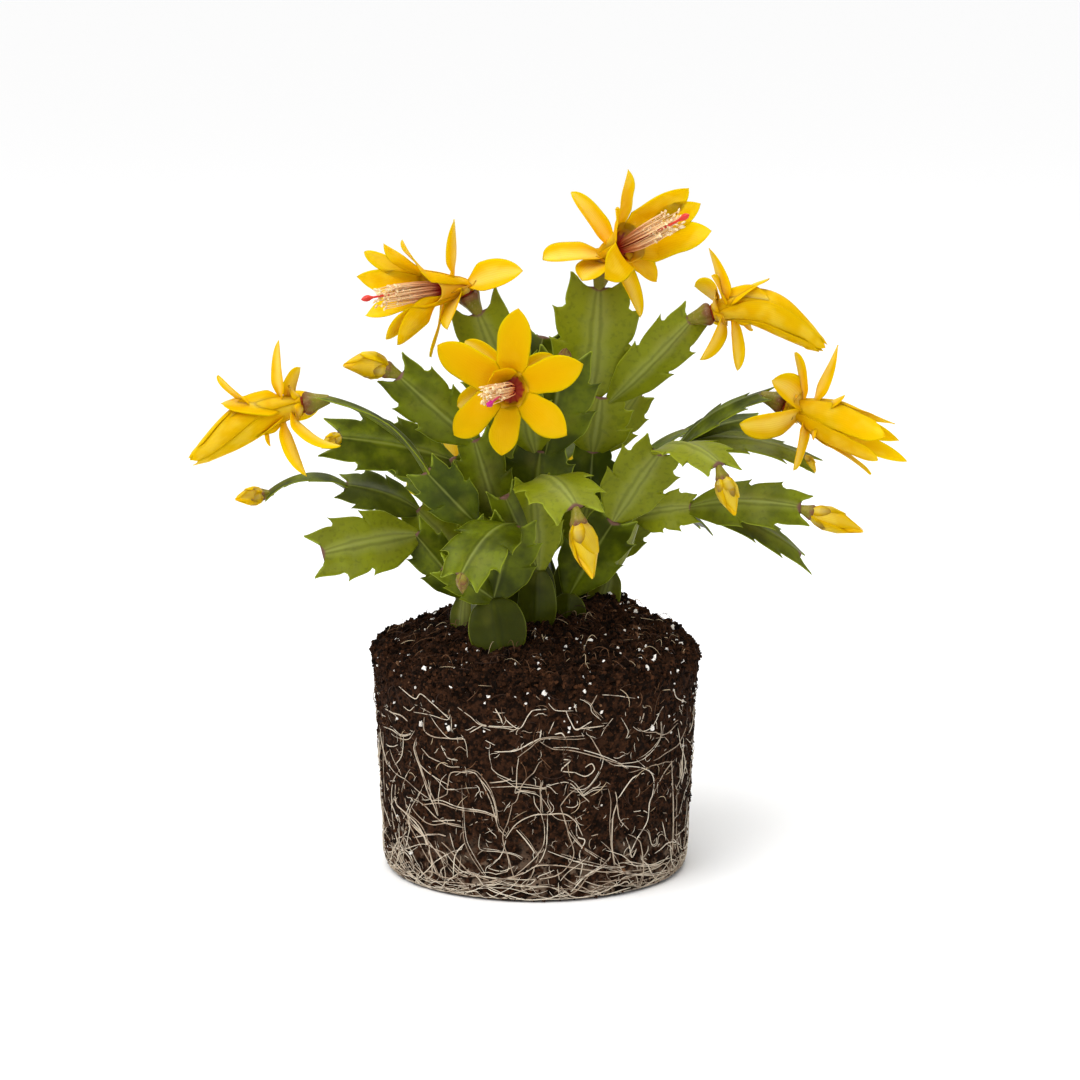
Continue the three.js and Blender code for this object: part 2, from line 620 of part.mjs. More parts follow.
// The direction away from a bloom's axis at a turn in degrees.
function outwardOf({ up, side }, turn) {
  const angle = THREE.MathUtils.degToRad(turn);
  return up.clone().multiplyScalar(Math.cos(angle)).addScaledVector(side, Math.sin(angle));
}

function placeOn(axis, turn, height, radius) {
  const frame = axis(height);
  return frame.point.addScaledVector(outwardOf(frame, turn), radius);
}

// A round solid along a straight axis from pairs of height and radius.
function turned(axis, profile, sides = 8) {
  const { point, out, up, side } = axis(0);
  const points = [[profile[0][0], 0], ...profile, [profile[profile.length - 1][0], 0]];
  const lathe = new THREE.LatheGeometry(points.map(([h, r]) => new THREE.Vector2(r, h)), sides);
  const matrix = new THREE.Matrix4().makeBasis(up, out, side.negate());
  return solidOf(lathe, matrix.setPosition(point));
}

// The stations of a tepal from where it leaves the tube or the corolla's rim.
function tepalStations(axis, { turn, length, width, lean, tipLean, twist }, height, radius, widths) {
  const frame = axis(height);
  const outward = outwardOf(frame, turn);
  const point = frame.point.clone().addScaledVector(outward, radius);
  return TEPAL.steps.map((t, k) => {
    const bend = THREE.MathUtils.degToRad(lean + (tipLean - lean) * t);
    const heading = frame.out.clone().multiplyScalar(Math.cos(bend));
    heading.addScaledVector(outward, Math.sin(bend));
    point.addScaledVector(heading, (t - (TEPAL.steps[k - 1] ?? 0)) * length);
    if (widths[k] === 0) return [point.clone()];
    const face = frame.out.clone().multiplyScalar(-Math.sin(bend));
    face.addScaledVector(outward, Math.cos(bend));
    face.applyAxisAngle(heading, THREE.MathUtils.degToRad(twist));
    const across = heading.clone().cross(face);
    const half = (width / 2) * widths[k];
    const rim = point.clone().addScaledVector(face, -TEPAL.curl * half);
    const edge = (way) => rim.clone().addScaledVector(across, way * half);
    const middle = (way) => point.clone().addScaledVector(face, (way * TEPAL.thickness) / 2);
    return [edge(1), middle(1), edge(-1), middle(-1)];
  });
}

const tepalSolid = (axis, one) => bladeFrom(tepalStations(axis, one, one.start, 0.5, TEPAL.widths));

// The corolla: a tube that widens into lobes, which share their edges up to its rim and then end
// one by one in tips. Its inside goes down to a floor where the stamens stand.
function corollaSolid(axis, form) {
  const count = form.lobes.length;
  const valley = (k) => {
    const [here, next] = [form.lobes[k].turn, form.lobes[(k + 1) % count].turn];
    return (here + next + (next < here ? 360 : 0)) / 2;
  };
  const positions = [];
  const push = (p) => {
    positions.push(p.x, p.y, p.z);
    return positions.length / 3 - 1;
  };
  const ring = ([height, radius], inset = 0) =>
    form.lobes.flatMap((lobe, k) => [
      push(placeOn(axis, lobe.turn, height, radius - inset)),
      push(placeOn(axis, valley(k), height, radius * COROLLA.valley - inset)),
    ]);
  const around = 2 * count;
  const triangles = [];
  const skin = (a, b) => {
    for (let i = 0; i < around; i++) {
      const j = (i + 1) % around;
      triangles.push(a[i], a[j], b[j], a[i], b[j], b[i]);
    }
  };
  const outer = form.rings.map((one) => ring(one));
  const rim = form.rings[form.rings.length - 1];
  const outside = outer[outer.length - 1];
  const inside = ring(rim, COROLLA.wall);
  const floor = ring(form.floor);
  const foot = push(placeOn(axis, 0, form.rings[0][0], 0));
  const middle = push(placeOn(axis, 0, form.floor[0], 0));
  for (let i = 0; i < around; i++) triangles.push(outer[0][(i + 1) % around], outer[0][i], foot);
  for (let row = 0; row + 1 < outer.length; row++) skin(outer[row], outer[row + 1]);
  skin(inside, floor);
  for (let i = 0; i < around; i++) triangles.push(floor[i], floor[(i + 1) % around], middle);
  form.lobes.forEach((lobe, k) => {
    const [before, mid, after] = [2 * k - 1, 2 * k, 2 * k + 1].map((i) => (i + around) % around);
    const stations = tepalStations(axis, lobe, rim[0], rim[1], [1, 1, 0.8, 0]).slice(1);
    const made = stations.map((station) => station.map(push));
    const [left, upper, right, lower] = made[0];
    triangles.push(outside[before], outside[mid], left, outside[mid], upper, left);
    triangles.push(outside[mid], outside[after], right, outside[mid], right, upper);
    triangles.push(inside[mid], inside[before], left, inside[mid], left, lower);
    triangles.push(inside[after], inside[mid], right, inside[mid], lower, right);
    triangles.push(inside[before], outside[before], left, outside[after], inside[after], right);
    for (let row = 1; row < made.length; row++) skinBlade(triangles, made[row - 1], made[row]);
  });
  return solidFrom(positions, triangles);
}

const bloomSolid = (spec) => {
  const axis = axisOf(spec);
  return joined([corollaSolid(axis, spec.form), ...spec.tepals.map((one) => tepalSolid(axis, one))]);
};

// A ring of three points round a bloom's axis at a height, shifted out by away at a turn.
function threadRing(axis, height, turn, away, radius) {
  const frame = axis(height);
  const middle = frame.point.addScaledVector(outwardOf(frame, turn), away);
  const corner = (angle) => middle.clone().addScaledVector(outwardOf(frame, turn + angle), radius);
  return [0, 120, 240].map(corner);
}

// Stamens: a ring on the corolla's floor with a brush of threads, each with its anther at the end.
function stamensSolid(spec) {
  const axis = axisOf(spec);
  const foot = spec.form.floor[0] + SEAT_GAP;
  const [inner, outer] = STAMENS.ring;
  const { point, out, up, side } = axis(foot);
  const section = [[inner, 0], [outer, 0], [outer, STAMENS.thick], [inner, STAMENS.thick], [inner, 0]];
  const ring = new THREE.LatheGeometry(section.map(([r, h]) => new THREE.Vector2(r, h)), 6);
  const matrix = new THREE.Matrix4().makeBasis(up, out, side.negate()).setPosition(point);
  const threads = Array.from({ length: STAMENS.count }, (_, k) => {
    const turn = (360 * k) / STAMENS.count;
    const length = STAMENS.length * (0.78 + 0.22 * Math.cos(2.4 * k));
    const away = (share) => 1.95 + share * length * Math.sin(THREE.MathUtils.degToRad(STAMENS.spread));
    const at = (share, radius) => threadRing(axis, foot + 0.4 + share * length, turn, away(share), radius);
    return threadFrom([
      at(0, STAMENS.radius), at(0.86, STAMENS.radius), at(0.93, STAMENS.anther), at(1, 0.3),
    ]);
  });
  return joined([solidOf(ring, matrix), ...threads]);
}

// The style stands in the middle of the stamens and ends in a thicker stigma.
function styleSolid(spec) {
  const axis = axisOf(spec);
  const foot = spec.form.floor[0] + SEAT_GAP;
  const profile = [[0, 0.9], [0.5, 0.9], [0.84, 0.9], [0.9, 1.7], [0.96, 1.6], [1, 0.5]];
  const ring = ([h, r]) => threadRing(axis, foot + h * STYLE.length, 0, 0, r * STYLE.radius);
  return threadFrom(profile.map(ring));
}

function ovarySolid(spec, scale = 1) {
  const axis = axisOf(spec);
  const profile = [
    [-OVARY.sunk, OVARY.baseRadius * scale], [OVARY.length * 0.45 * scale, OVARY.baseRadius * 1.35 * scale],
    [(OVARY.length - 0.1) * scale, OVARY.rimRadius * scale],
  ];
  const apex = jointSolid(STEMS[spec.stem][spec.tip], SEAT_GAP);
  return turned(axis, profile, 6).subtract(apex);
}

function budSolid(spec) {
  const axis = axisOf(spec);
  const base = OVARY.length * (spec.width / 13) + 0.25;
  const half = spec.width / 2;
  const profile = [
    [base, half * 0.62], [base + spec.length * 0.22, half], [base + spec.length * 0.5, half * 0.86],
    [base + spec.length * 0.8, half * 0.42], [base + spec.length, 0.3],
  ];
  return turned(axis, profile, 7);
}

function smallBudSolid(spec) {
  const axis = axisOf(spec);
  const half = spec.width / 2;
  const profile = [
    [-1.2, half * 0.5], [spec.length * 0.35, half], [spec.length * 0.7, half * 0.8], [spec.length, 0.4],
  ];
  const apex = jointSolid(STEMS[spec.stem][spec.tip], SEAT_GAP);
  return turned(axis, profile, 6).subtract(apex);
}

// Finished pieces

const material = (color, roughness) => new THREE.MeshStandardMaterial({ color, roughness, metalness: 0 });
const MATERIAL = {
  soil: material(COLOUR.soil, 0.95),
  stem: material(COLOUR.stem, 0.45),
  petal: material(COLOUR.petal, 0.5),
  ovary: material(COLOUR.ovary, 0.5),
  stamen: material(COLOUR.stamen, 0.6),
  style: material(COLOUR.style, 0.5),
};

const plant = new THREE.Group();
function add(name, solid, finish) {
  const mesh = new THREE.Mesh(geometryOf(solid), finish);
  mesh.name = name;
  plant.add(mesh);
}

add("root_ball", rootBallSolid(), MATERIAL.soil);
for (const stem of Object.keys(STEMS)) add(`stem_${stem}`, stemSolid(stem), MATERIAL.stem);
for (const bloom of BLOOMS) {
  add(`ovary_${bloom.name}`, ovarySolid(bloom), MATERIAL.ovary);
  add(`bloom_${bloom.name}`, bloomSolid(bloom), MATERIAL.petal);
  if (![FLARED, OPEN, STAR].includes(bloom.form)) continue;
  add(`stamens_${bloom.name}`, stamensSolid(bloom), MATERIAL.stamen);
  add(`style_${bloom.name}`, styleSolid(bloom), MATERIAL.style);
}
for (const bud of BUDS) {
  add(`bud_base_${bud.name}`, ovarySolid(bud, bud.width / 13), MATERIAL.ovary);
  add(`bud_${bud.name}`, budSolid(bud), MATERIAL.petal);
}
for (const bud of SMALL_BUDS) add(`small_bud_${bud.name}`, smallBudSolid(bud), MATERIAL.petal);

export default plant;
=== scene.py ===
"""The looks of a yellow-flowered Christmas cactus that stands on its bare root ball.

Sizes are millimetres, +Z up and -Y towards the viewer. The origin is the middle of the root ball's
flat underside.
"""

import json
import logging
import math
from dataclasses import dataclass, field
from enum import Enum
from typing import Any, Sequence

import bpy
import numpy as np
from mathutils import Euler, Matrix, Vector, noise

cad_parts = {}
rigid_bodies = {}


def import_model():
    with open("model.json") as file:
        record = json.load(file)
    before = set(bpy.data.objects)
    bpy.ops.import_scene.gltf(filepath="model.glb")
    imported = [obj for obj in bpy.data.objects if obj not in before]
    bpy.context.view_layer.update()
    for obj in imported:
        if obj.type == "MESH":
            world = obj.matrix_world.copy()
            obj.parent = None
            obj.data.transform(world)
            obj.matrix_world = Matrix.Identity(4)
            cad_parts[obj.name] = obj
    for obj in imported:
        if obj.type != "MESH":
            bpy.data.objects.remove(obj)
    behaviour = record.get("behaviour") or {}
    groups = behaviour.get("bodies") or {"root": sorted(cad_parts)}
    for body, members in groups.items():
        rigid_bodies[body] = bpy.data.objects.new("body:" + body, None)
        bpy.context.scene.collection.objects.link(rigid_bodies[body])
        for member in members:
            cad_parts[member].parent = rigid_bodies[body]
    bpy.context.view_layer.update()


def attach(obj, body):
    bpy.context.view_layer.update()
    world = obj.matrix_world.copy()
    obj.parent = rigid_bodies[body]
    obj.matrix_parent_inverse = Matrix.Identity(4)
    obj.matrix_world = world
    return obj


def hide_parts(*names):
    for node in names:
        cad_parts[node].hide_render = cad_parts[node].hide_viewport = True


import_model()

LOG = logging.getLogger("christmas_cactus")
MM = 0.001
BODY = "root"
FULL_TURN = 6.283
ANY_PHASE = 6.3
Array = np.ndarray
Material = bpy.types.Material
Tree = bpy.types.NodeTree
Thing = bpy.types.Object
Pair = tuple[float, float]
Point = tuple[float, float, float]


# Numbers


def unit(vectors: Array) -> Array:
    """Makes vectors one long, whatever the shape of the array that holds them."""
    return vectors / np.maximum(np.linalg.norm(vectors, axis=-1, keepdims=True), 1e-12)


def ease(value: Array | float, low: float = 0.0, high: float = 1.0) -> Array:
    """Eases one number or many from 0 at low to 1 at high."""
    share = np.clip((np.asarray(value, float) - low) / (high - low), 0.0, 1.0)
    return share * share * (3.0 - 2.0 * share)


def bezier(a: Array, b: Array, c: Array, d: Array, steps: int) -> Array:
    """Follows a cubic curve from a to d with the handles b and c, and leaves a itself out."""
    t = np.linspace(0.0, 1.0, steps + 1)[1:, None]
    return a * (1 - t) ** 3 + b * (3 * t * (1 - t) ** 2) + c * (3 * t * t * (1 - t)) + d * t**3


def flowing(points: Array, steps: int) -> Array:
    """Runs a smooth line through points.

    Args:
        points: The points, one a row.
        steps: How many points to put on each stretch.

    Returns:
        The points of the smooth line.
    """
    line = [points[:1]]
    last = len(points) - 1
    for k in range(last):
        before = points[max(0, k - 1)]
        after = points[min(last, k + 2)]
        first = points[k] + (points[k + 1] - before) / 6
        second = points[k + 1] - (after - points[k]) / 6
        line.append(bezier(points[k], first, second, points[k + 1], steps))
    return np.concatenate(line)


class Seed(Enum):
    """Where the random numbers of each kind of piece start."""

    JOINTS = 101
    BLOOMS = 900
    BUDS = 700
    BRUSHES = 32
    WANDERING_ROOTS = 19
    ROOTS = 4242
    FIBRES = 99


class Stream:
    """A repeatable stream of numbers from 0 to 1."""

    MASK = 0xFFFFFFFF
    STRIDE = 0x6D2B79F5

    def __init__(self, seed: Seed, number: int = 0) -> None:
        """Starts the stream at its seed and the piece's own number."""
        self.state = seed.value + number

    def __call__(self) -> float:
        """Gives the next number.

        Returns:
            The number, from 0 to 1.
        """
        self.state = (self.state + self.STRIDE) & self.MASK
        t = self.state
        t = ((t ^ (t >> 15)) * (t | 1)) & self.MASK
        t ^= (t + (t ^ (t >> 7)) * (t | 61)) & self.MASK
        return ((t ^ (t >> 14)) & self.MASK) / (self.MASK + 1)


# Meshes


def placed(name: str, data: bpy.types.ID) -> Thing:
    """Puts a mesh, a light or a camera in the scene as an object of its own.

    Args:
        name: The object's name.
        data: What it shows.

    Returns:
        The object.
    """
    thing = bpy.data.objects.new(name, data)
    bpy.context.scene.collection.objects.link(thing)
    return thing


def store(mesh: bpy.types.Mesh, label: str, values: Array) -> None:
    """Stores one number, or a mark of four, on every vertex.

    Args:
        mesh: The mesh.
        label: The name that a finish or a tree reads them by.
        values: The numbers, one row a vertex.
    """
    kind, part = ("FLOAT_COLOR", "color") if values.ndim > 1 else ("FLOAT", "value")
    layer = mesh.attributes.new(label, kind, "POINT")
    layer.data.foreach_set(part, values.astype(np.float32).ravel())


@dataclass
class Skin:
    """The loose shells of one piece, each vertex with a mark of four numbers for its finish."""

    points: list[Array] = field(default_factory=list)
    faces: list[tuple[int, ...]] = field(default_factory=list)
    marks: list[Array] = field(default_factory=list)
    looks: list[int] = field(default_factory=list)
    count: int = 0

    def add(self, points: Array, faces: Sequence[Sequence[int]], marks: Array, look: int = 0) -> None:
        """Adds one closed shell and turns its faces outwards.

        Args:
            points: Its vertices, one a row.
            faces: Its faces, all wound the same way.
            marks: Four numbers for each vertex.
            look: Which of the piece's finishes it takes.
        """
        first = np.array([face[:3] for face in faces])
        third = np.array([(face[0], face[2], face[-1]) for face in faces])
        volume = 0.0
        for corners in (first, third):
            a, b, c = (points[corners[:, i]] for i in range(3))
            volume += float(np.einsum("ij,ij->", a, np.cross(b, c)))
        way = 1 if volume > 0 else -1
        self.faces.extend(tuple(int(i) + self.count for i in face[::way]) for face in faces)
        self.points.append(points)
        self.marks.append(marks)
        self.looks.extend([look] * len(faces))
        self.count += len(points)

    def piece(self, name: str, finishes: Sequence[Material]) -> Thing:
        """Makes the piece's object.

        Args:
            name: The piece's name.
            finishes: Its materials.

        Returns:
            The object, at the origin.
        """
        mesh = bpy.data.meshes.new(name)
        mesh.from_pydata(np.concatenate(self.points) * MM, [], self.faces)
        store(mesh, "mark", np.concatenate(self.marks))
        for finish in finishes:
            mesh.materials.append(finish)
        mesh.polygons.foreach_set("material_index", self.looks)
        mesh.shade_smooth()
        mesh.update()
        return placed(name, mesh)


def marks_of(across: Array, along: Array, shade: float, kind: float) -> Array:
    """Marks each point: how near the rim and how far along it is, its shape's shade, and its kind."""
    across, along = np.broadcast_arrays(across, along)
    return np.stack([across, along, np.full_like(across, shade), np.full_like(across, kind)], -1)


def blade(grid: Array, half: Array, marks: Array) -> tuple[Array, list[tuple[int, ...]], Array]:
    """Closes a thin shell round a grid.

    Args:
        grid: The middle surface, as rows of points from one edge to the other.
        half: Half the thickness at each point, 0 on both edges.
        marks: Four numbers for each point.

    Returns:
        The shell's points, its faces and its marks.
    """
    rows, cols = half.shape
    normal = unit(np.cross(np.gradient(grid, axis=0), np.gradient(grid, axis=1)))
    lift = normal * half[..., None]
    back = slice(cols - 2, 0, -1)
    rings = np.concatenate([grid + lift, (grid - lift)[:, back]], axis=1)
    marks = np.concatenate([marks, marks[:, back]], axis=1)
    size = rings.shape[1]
    faces = []
    for r in range(rows - 1):
        low, high = r * size, (r + 1) * size
        for i in range(size):
            j = (i + 1) % size
            faces.append((low + i, low + j, high + j, high + i))
    under = [0] + [size - c for c in range(1, cols - 1)] + [cols - 1]
    top = (rows - 1) * size
    for c in range(cols - 1):
        first = [c + 1, c, under[c], under[c + 1]]
        faces.append(tuple(dict.fromkeys(first)))
        faces.append(tuple(dict.fromkeys(top + i for i in (c, c + 1, under[c + 1], under[c]))))
    return rings.reshape(-1, 3), faces, marks.reshape(-1, 4)


def tube(rings: Array, marks: Array) -> tuple[Array, list[tuple[int, ...]], Array]:
    """Closes a round shell along rings, with a point in the middle of both ends.

    Args:
        rings: Rows of points round the shell.
        marks: Four numbers for each point.

    Returns:
        The shell's points, its faces and its marks.
    """
    rows, cols, _ = rings.shape
    faces = []
    for r in range(rows - 1):
        for i in range(cols):
            j = (i + 1) % cols
            low, high = r * cols, (r + 1) * cols
            faces.append((low + i, low + j, high + j, high + i))
    foot, top = rows * cols, rows * cols + 1
    for i in range(cols):
        j = (i + 1) % cols
        faces.append((j, i, foot))
        faces.append(((rows - 1) * cols + i, (rows - 1) * cols + j, top))
    ends = np.stack([rings[0].mean(0), rings[-1].mean(0)])
    points = np.concatenate([rings.reshape(-1, 3), ends])
    marks = np.concatenate([marks.reshape(-1, 4), marks[0, :1], marks[-1, :1]])
    return points, faces, marks


# Finishes


def put(tree: Tree, kind: str, links: dict[Any, Any] | None = None, **settings: Any) -> Any:
    """Adds a node with its settings and links.

    Args:
        tree: The tree that gets it.
        kind: The node's type.
        links: For each input, by name or number, a value to set, a socket to link, or a node, which
            stands for its first output.
        **settings: The node's own properties.

    Returns:
        The node.
    """
    node = tree.nodes.new(kind)
    for name, value in settings.items():
        setattr(node, name, value)
    for socket, source in (links or {}).items():
        if isinstance(source, bpy.types.Node):
            source = source.outputs[0]
        if isinstance(source, bpy.types.NodeSocket):
            tree.links.new(source, node.inputs[socket])
        else:
            node.inputs[socket].default_value = source
    return node


def linear(code: str) -> tuple[float, float, float, float]:
    """Turns an sRGB hex colour to linear light.

    Args:
        code: Six hex digits.

    Returns:
        Red, green, blue and a full alpha.
    """
    parts = [int(code[i : i + 2], 16) / 255 for i in (0, 2, 4)]
    light = [p / 12.92 if p <= 0.04045 else ((p + 0.055) / 1.055) ** 2.4 for p in parts]
    return light[0], light[1], light[2], 1.0


class Mark(Enum):
    """What the marks of a piece tell its finish, and the output that reads each."""

    ACROSS = "Red"
    ALONG = "Green"
    SHADE = "Blue"
    KIND = "Alpha"


@dataclass(frozen=True)
class Spots:
    """Soft random spots of a real size."""

    size_mm: float
    detail: float = 3.0


@dataclass(frozen=True)
class Cells:
    """Packed round cells of a real size, 0 in the middle of each."""

    size_mm: float


@dataclass(frozen=True)
class Veins:
    """Fine lines that run along a shape, so many from its middle to its rim, waved by soft spots."""

    count: float
    wander: float = 0.12
    spots_mm: float = 6.0


Pattern = Mark | Spots | Cells | Veins


@dataclass(frozen=True)
class Coat:
    """A tone over the ones before it, where a pattern runs from low to high.

    A second pattern can keep it to a part of the surface.
    """

    tone: str
    share: float
    where: Pattern
    low: float
    high: float
    only: Pattern | None = None
    start: float = 0.0
    full: float = 1.0


@dataclass(frozen=True)
class Finish:
    """One real surface: its tones, how it takes the light, and its relief."""

    name: str
    ground: str
    coats: tuple[Coat, ...]
    roughness: float
    ior: float
    relief: tuple[tuple[Pattern, float], ...]
    relief_mm: float
    sheen_change: float = 0.0
    glow: float = 0.0
    glow_reach: Point = (1.0, 0.6, 0.3)
    glow_mm: float = 1.0

    def patterns(self, tree: Tree) -> dict[Pattern, Any]:
        """Draws every pattern that the finish reads.

        Args:
            tree: The material's tree.

        Returns:
            The node or socket of each pattern.
        """
        read = put(tree, "ShaderNodeAttribute", attribute_name="mark")
        parts = put(tree, "ShaderNodeSeparateColor", {0: read})
        place = put(tree, "ShaderNodeTexCoord").outputs["Object"]
        drawn = {mark: (read if mark is Mark.KIND else parts).outputs[mark.value] for mark in Mark}
        wanted = {coat.where for coat in self.coats} | {coat.only for coat in self.coats if coat.only}
        for pattern in sorted(wanted | {pattern for pattern, _ in self.relief}, key=str):
            if isinstance(pattern, Spots):
                links = {"Vector": place, "Scale": 1 / (pattern.size_mm * MM), "Detail": pattern.detail}
                drawn[pattern] = put(tree, "ShaderNodeTexNoise", links)
            elif isinstance(pattern, Cells):
                drawn[pattern] = put(tree, "ShaderNodeTexVoronoi", {
                    "Vector": place, "Scale": 1 / (pattern.size_mm * MM),
                })
            elif isinstance(pattern, Veins):
                soft = put(tree, "ShaderNodeTexNoise", {
                    "Vector": place, "Scale": 1 / (pattern.spots_mm * MM),
                })
                swung = put(tree, "ShaderNodeMath", {0: soft, 1: pattern.wander, 2: drawn[Mark.ACROSS]},
                            operation="MULTIPLY_ADD")
                turns = put(tree, "ShaderNodeMath", {0: swung, 1: FULL_TURN * pattern.count},
                            operation="MULTIPLY")
                wave = put(tree, "ShaderNodeMath", {0: turns}, operation="COSINE")
                drawn[pattern] = put(tree, "ShaderNodeMath", {0: wave, 1: 0.5, 2: 0.5},
                                     operation="MULTIPLY_ADD")
        return drawn

    def material(self) -> Material:
        """Builds the surface as a node tree, one tone over the other.

        Returns:
            The material.
        """
        material = bpy.data.materials.new(self.name)
        material.use_nodes = True
        tree = material.node_tree
        tree.nodes.clear()
        drawn = self.patterns(tree)
        tone: Any = linear(self.ground)
        for coat in self.coats:
            share = put(tree, "ShaderNodeMapRange", {
                "Value": drawn[coat.where], "From Min": coat.low, "From Max": coat.high, "To Max": coat.share,
            }, interpolation_type="SMOOTHSTEP")
            if coat.only:
                limit = put(tree, "ShaderNodeMapRange", {
                    "Value": drawn[coat.only], "From Min": coat.start, "From Max": coat.full,
                }, interpolation_type="SMOOTHSTEP")
                share = put(tree, "ShaderNodeMath", {0: share, 1: limit}, operation="MULTIPLY")
            mixed = put(tree, "ShaderNodeMix", {0: share, 6: tone, 7: linear(coat.tone)}, data_type="RGBA")
            tone = mixed.outputs[2]
        height: Any = 0.0
        for pattern, weight in self.relief:
            height = put(tree, "ShaderNodeMath", {0: drawn[pattern], 1: weight, 2: height},
                         operation="MULTIPLY_ADD")
        bump = put(tree, "ShaderNodeBump", {"Height": height, "Distance": self.relief_mm * MM})
        shader = put(tree, "ShaderNodeBsdfPrincipled", {
            "Base Color": tone, "Roughness": self.roughness, "IOR": self.ior, "Normal": bump,
            "Subsurface Weight": self.glow, "Subsurface Radius": self.glow_reach,
            "Subsurface Scale": self.glow_mm * MM,
        })
        if self.sheen_change:
            worn = put(tree, "ShaderNodeMapRange", {
                "Value": height, "From Max": sum(weight for _, weight in self.relief),
                "To Min": self.roughness + self.sheen_change, "To Max": self.roughness - self.sheen_change,
            })
            tree.links.new(worn.outputs[0], shader.inputs["Roughness"])
        put(tree, "ShaderNodeOutputMaterial", {"Surface": shader})
        return material


class Look(Enum):
    """The finishes of the plant."""

    # Living joint skin: wax over thick cells, so a satin olive with broad soft highlights, partly painted in
    # as pale grey clouds and a pale band along the rib. The cells are drawn at 0.8 mm, several times their
    # real size, because finer ones wouldn't show.
    JOINT = Finish("living_joint_skin", "373f02", (
        Coat("616c08", 1.0, Spots(11.0), 0.34, 0.66),
        Coat("868c14", 0.75, Mark.SHADE, 0.4, 1.0),
        Coat("2c3c0c", 0.45, Mark.SHADE, 0.3, 0.0),
        Coat("343604", 0.7, Mark.KIND, 0.0, 1.0),
        # Painted sheen: soft pale grey-olive clouds over the middle of the blade.
        Coat("7a782c", 0.3, Spots(15.0, 2.0), 0.5, 0.7, Mark.ACROSS, 0.85, 0.3),
        Coat("343c0c", 0.28, Spots(1.8, 2.0), 0.5, 0.7),
        # Painted highlight: a pale grey-green band along the rib, on joints whose own shade is high.
        Coat("989e56", 0.36, Mark.ACROSS, 0.5, 0.1, Mark.SHADE, 0.35, 0.85),
        Coat("2b3208", 0.32, Mark.ACROSS, 0.2, 0.12, Mark.ACROSS, 0.03, 0.1),
        Coat("8a9146", 0.45, Mark.ACROSS, 0.07, 0.0, Mark.KIND, 0.9, 0.3),
        Coat("98a32e", 0.6, Mark.ACROSS, 0.95, 0.99, Mark.KIND, 2.0, 0.2),
        Coat("a2b13a", 0.5, Mark.ALONG, 0.9, 0.95, Mark.ACROSS, 0.5, 0.9),
        Coat("6e4f42", 1.0, Mark.ALONG, 0.972, 0.992, Mark.ACROSS, 0.75, 0.45),
    ), roughness=0.36, ior=1.2, relief=((Cells(0.8), 0.35), (Spots(3.2, 2.0), 1.0)), relief_mm=0.1,
        sheen_change=0.07, glow=0.08, glow_reach=(0.6, 1.0, 0.15), glow_mm=1.2)
    # Petal tissue: a few cells thick and silky, so it glows where light comes through from behind. Its pale
    # spots and the pale middles of outer tepals, scales and buds are painted sheen, and the front bloom's
    # darker gold is painted shade.
    PETAL = Finish("golden_petal", "d89b00", (
        Coat("dfa400", 1.0, Mark.ALONG, 0.04, 0.42),
        Coat("e4ae00", 0.8, Mark.SHADE, 0.2, 1.0, Mark.ALONG, 0.1, 0.5),
        # Painted sheen: pale soft spots over the middle of the petal.
        Coat("f0c43c", 0.45, Spots(11.0, 2.0), 0.45, 0.62, Mark.ACROSS, 0.95, 0.35),
        # Painted sheen: a pale middle on outer tepals and scales, fainter on buds.
        Coat("f0cb62", 0.55, Mark.KIND, 0.4, 0.9, Mark.ACROSS, 0.7, 0.1),
        Coat("cf9200", 0.35, Veins(7.0), 0.84, 1.0, Mark.ALONG, 0.0, 0.3),
        Coat("d09400", 0.3, Mark.ACROSS, 0.9, 1.0),
        # Painted shade: the front bloom's petals turn a darker gold, as they face the camera under light from
        # above.
        Coat("cb9900", 0.85, Mark.KIND, 0.38, 0.12),
        Coat("8f6426", 0.8, Mark.KIND, 0.95, 1.0, Mark.ALONG, 0.5, 1.0),
    ), roughness=0.45, ior=1.09, relief=((Veins(7.0), 0.18), (Spots(0.9, 2.0), 0.5)), relief_mm=0.08,
        glow=0.55, glow_reach=(1.0, 0.8, 0.05), glow_mm=3.0)
    # Throat of the corolla: the same tissue in the shade of its own wall, so a deeper gold. The nectar
    # guides make its floor dark red, with stripes up from it.
    THROAT = Finish("petal_throat", "cf8a00", (
        Coat("dba000", 1.0, Mark.ALONG, 0.25, 0.6),
        Coat("8f1a14", 0.85, Mark.ACROSS, 0.45, 0.85, Mark.ALONG, 0.5, 0.2),
        Coat("8f1a14", 0.9, Mark.ALONG, 0.22, 0.05),
    ), roughness=0.45, ior=1.4, relief=((Spots(1.2), 1.0),), relief_mm=0.06, glow=0.45,
        glow_reach=(1.0, 0.7, 0.05), glow_mm=3.0)
    # Ovary skin: smooth and fleshy, so a soft shine on olive, with a brown flush towards its top.
    OVARY = Finish("ovary_skin", "74701c", (
        Coat("8a7c2c", 0.8, Spots(3.0), 0.4, 0.7),
        Coat("70482f", 0.9, Mark.ALONG, 0.5, 0.95, Spots(3.5), 0.3, 0.5),
        Coat("70482f", 0.8, Mark.ACROSS, 0.6, 1.0),
        Coat("b99f78", 0.3, Spots(0.8), 0.55, 0.75),
    ), roughness=0.42, ior=1.25, relief=((Spots(1.6), 1.0),), relief_mm=0.15, glow=0.1)
    # Damp potting mix: peat and fine bark, matt, and nearly black where it is wet.
    MIX = Finish("potting_mix", "140b06", (
        Coat("321e12", 1.0, Spots(2.4, 5.0), 0.42, 0.6),
        Coat("482c1b", 0.8, Spots(1.3, 4.0), 0.54, 0.7),
        Coat("8a7562", 0.6, Spots(5.0, 4.0), 0.46, 0.6, Mark.ALONG, 0.3, 0.02),
    ), roughness=0.95, ior=1.15, relief=((Spots(1.4, 5.0), 1.0), (Cells(1.6), -0.5)), relief_mm=0.9)
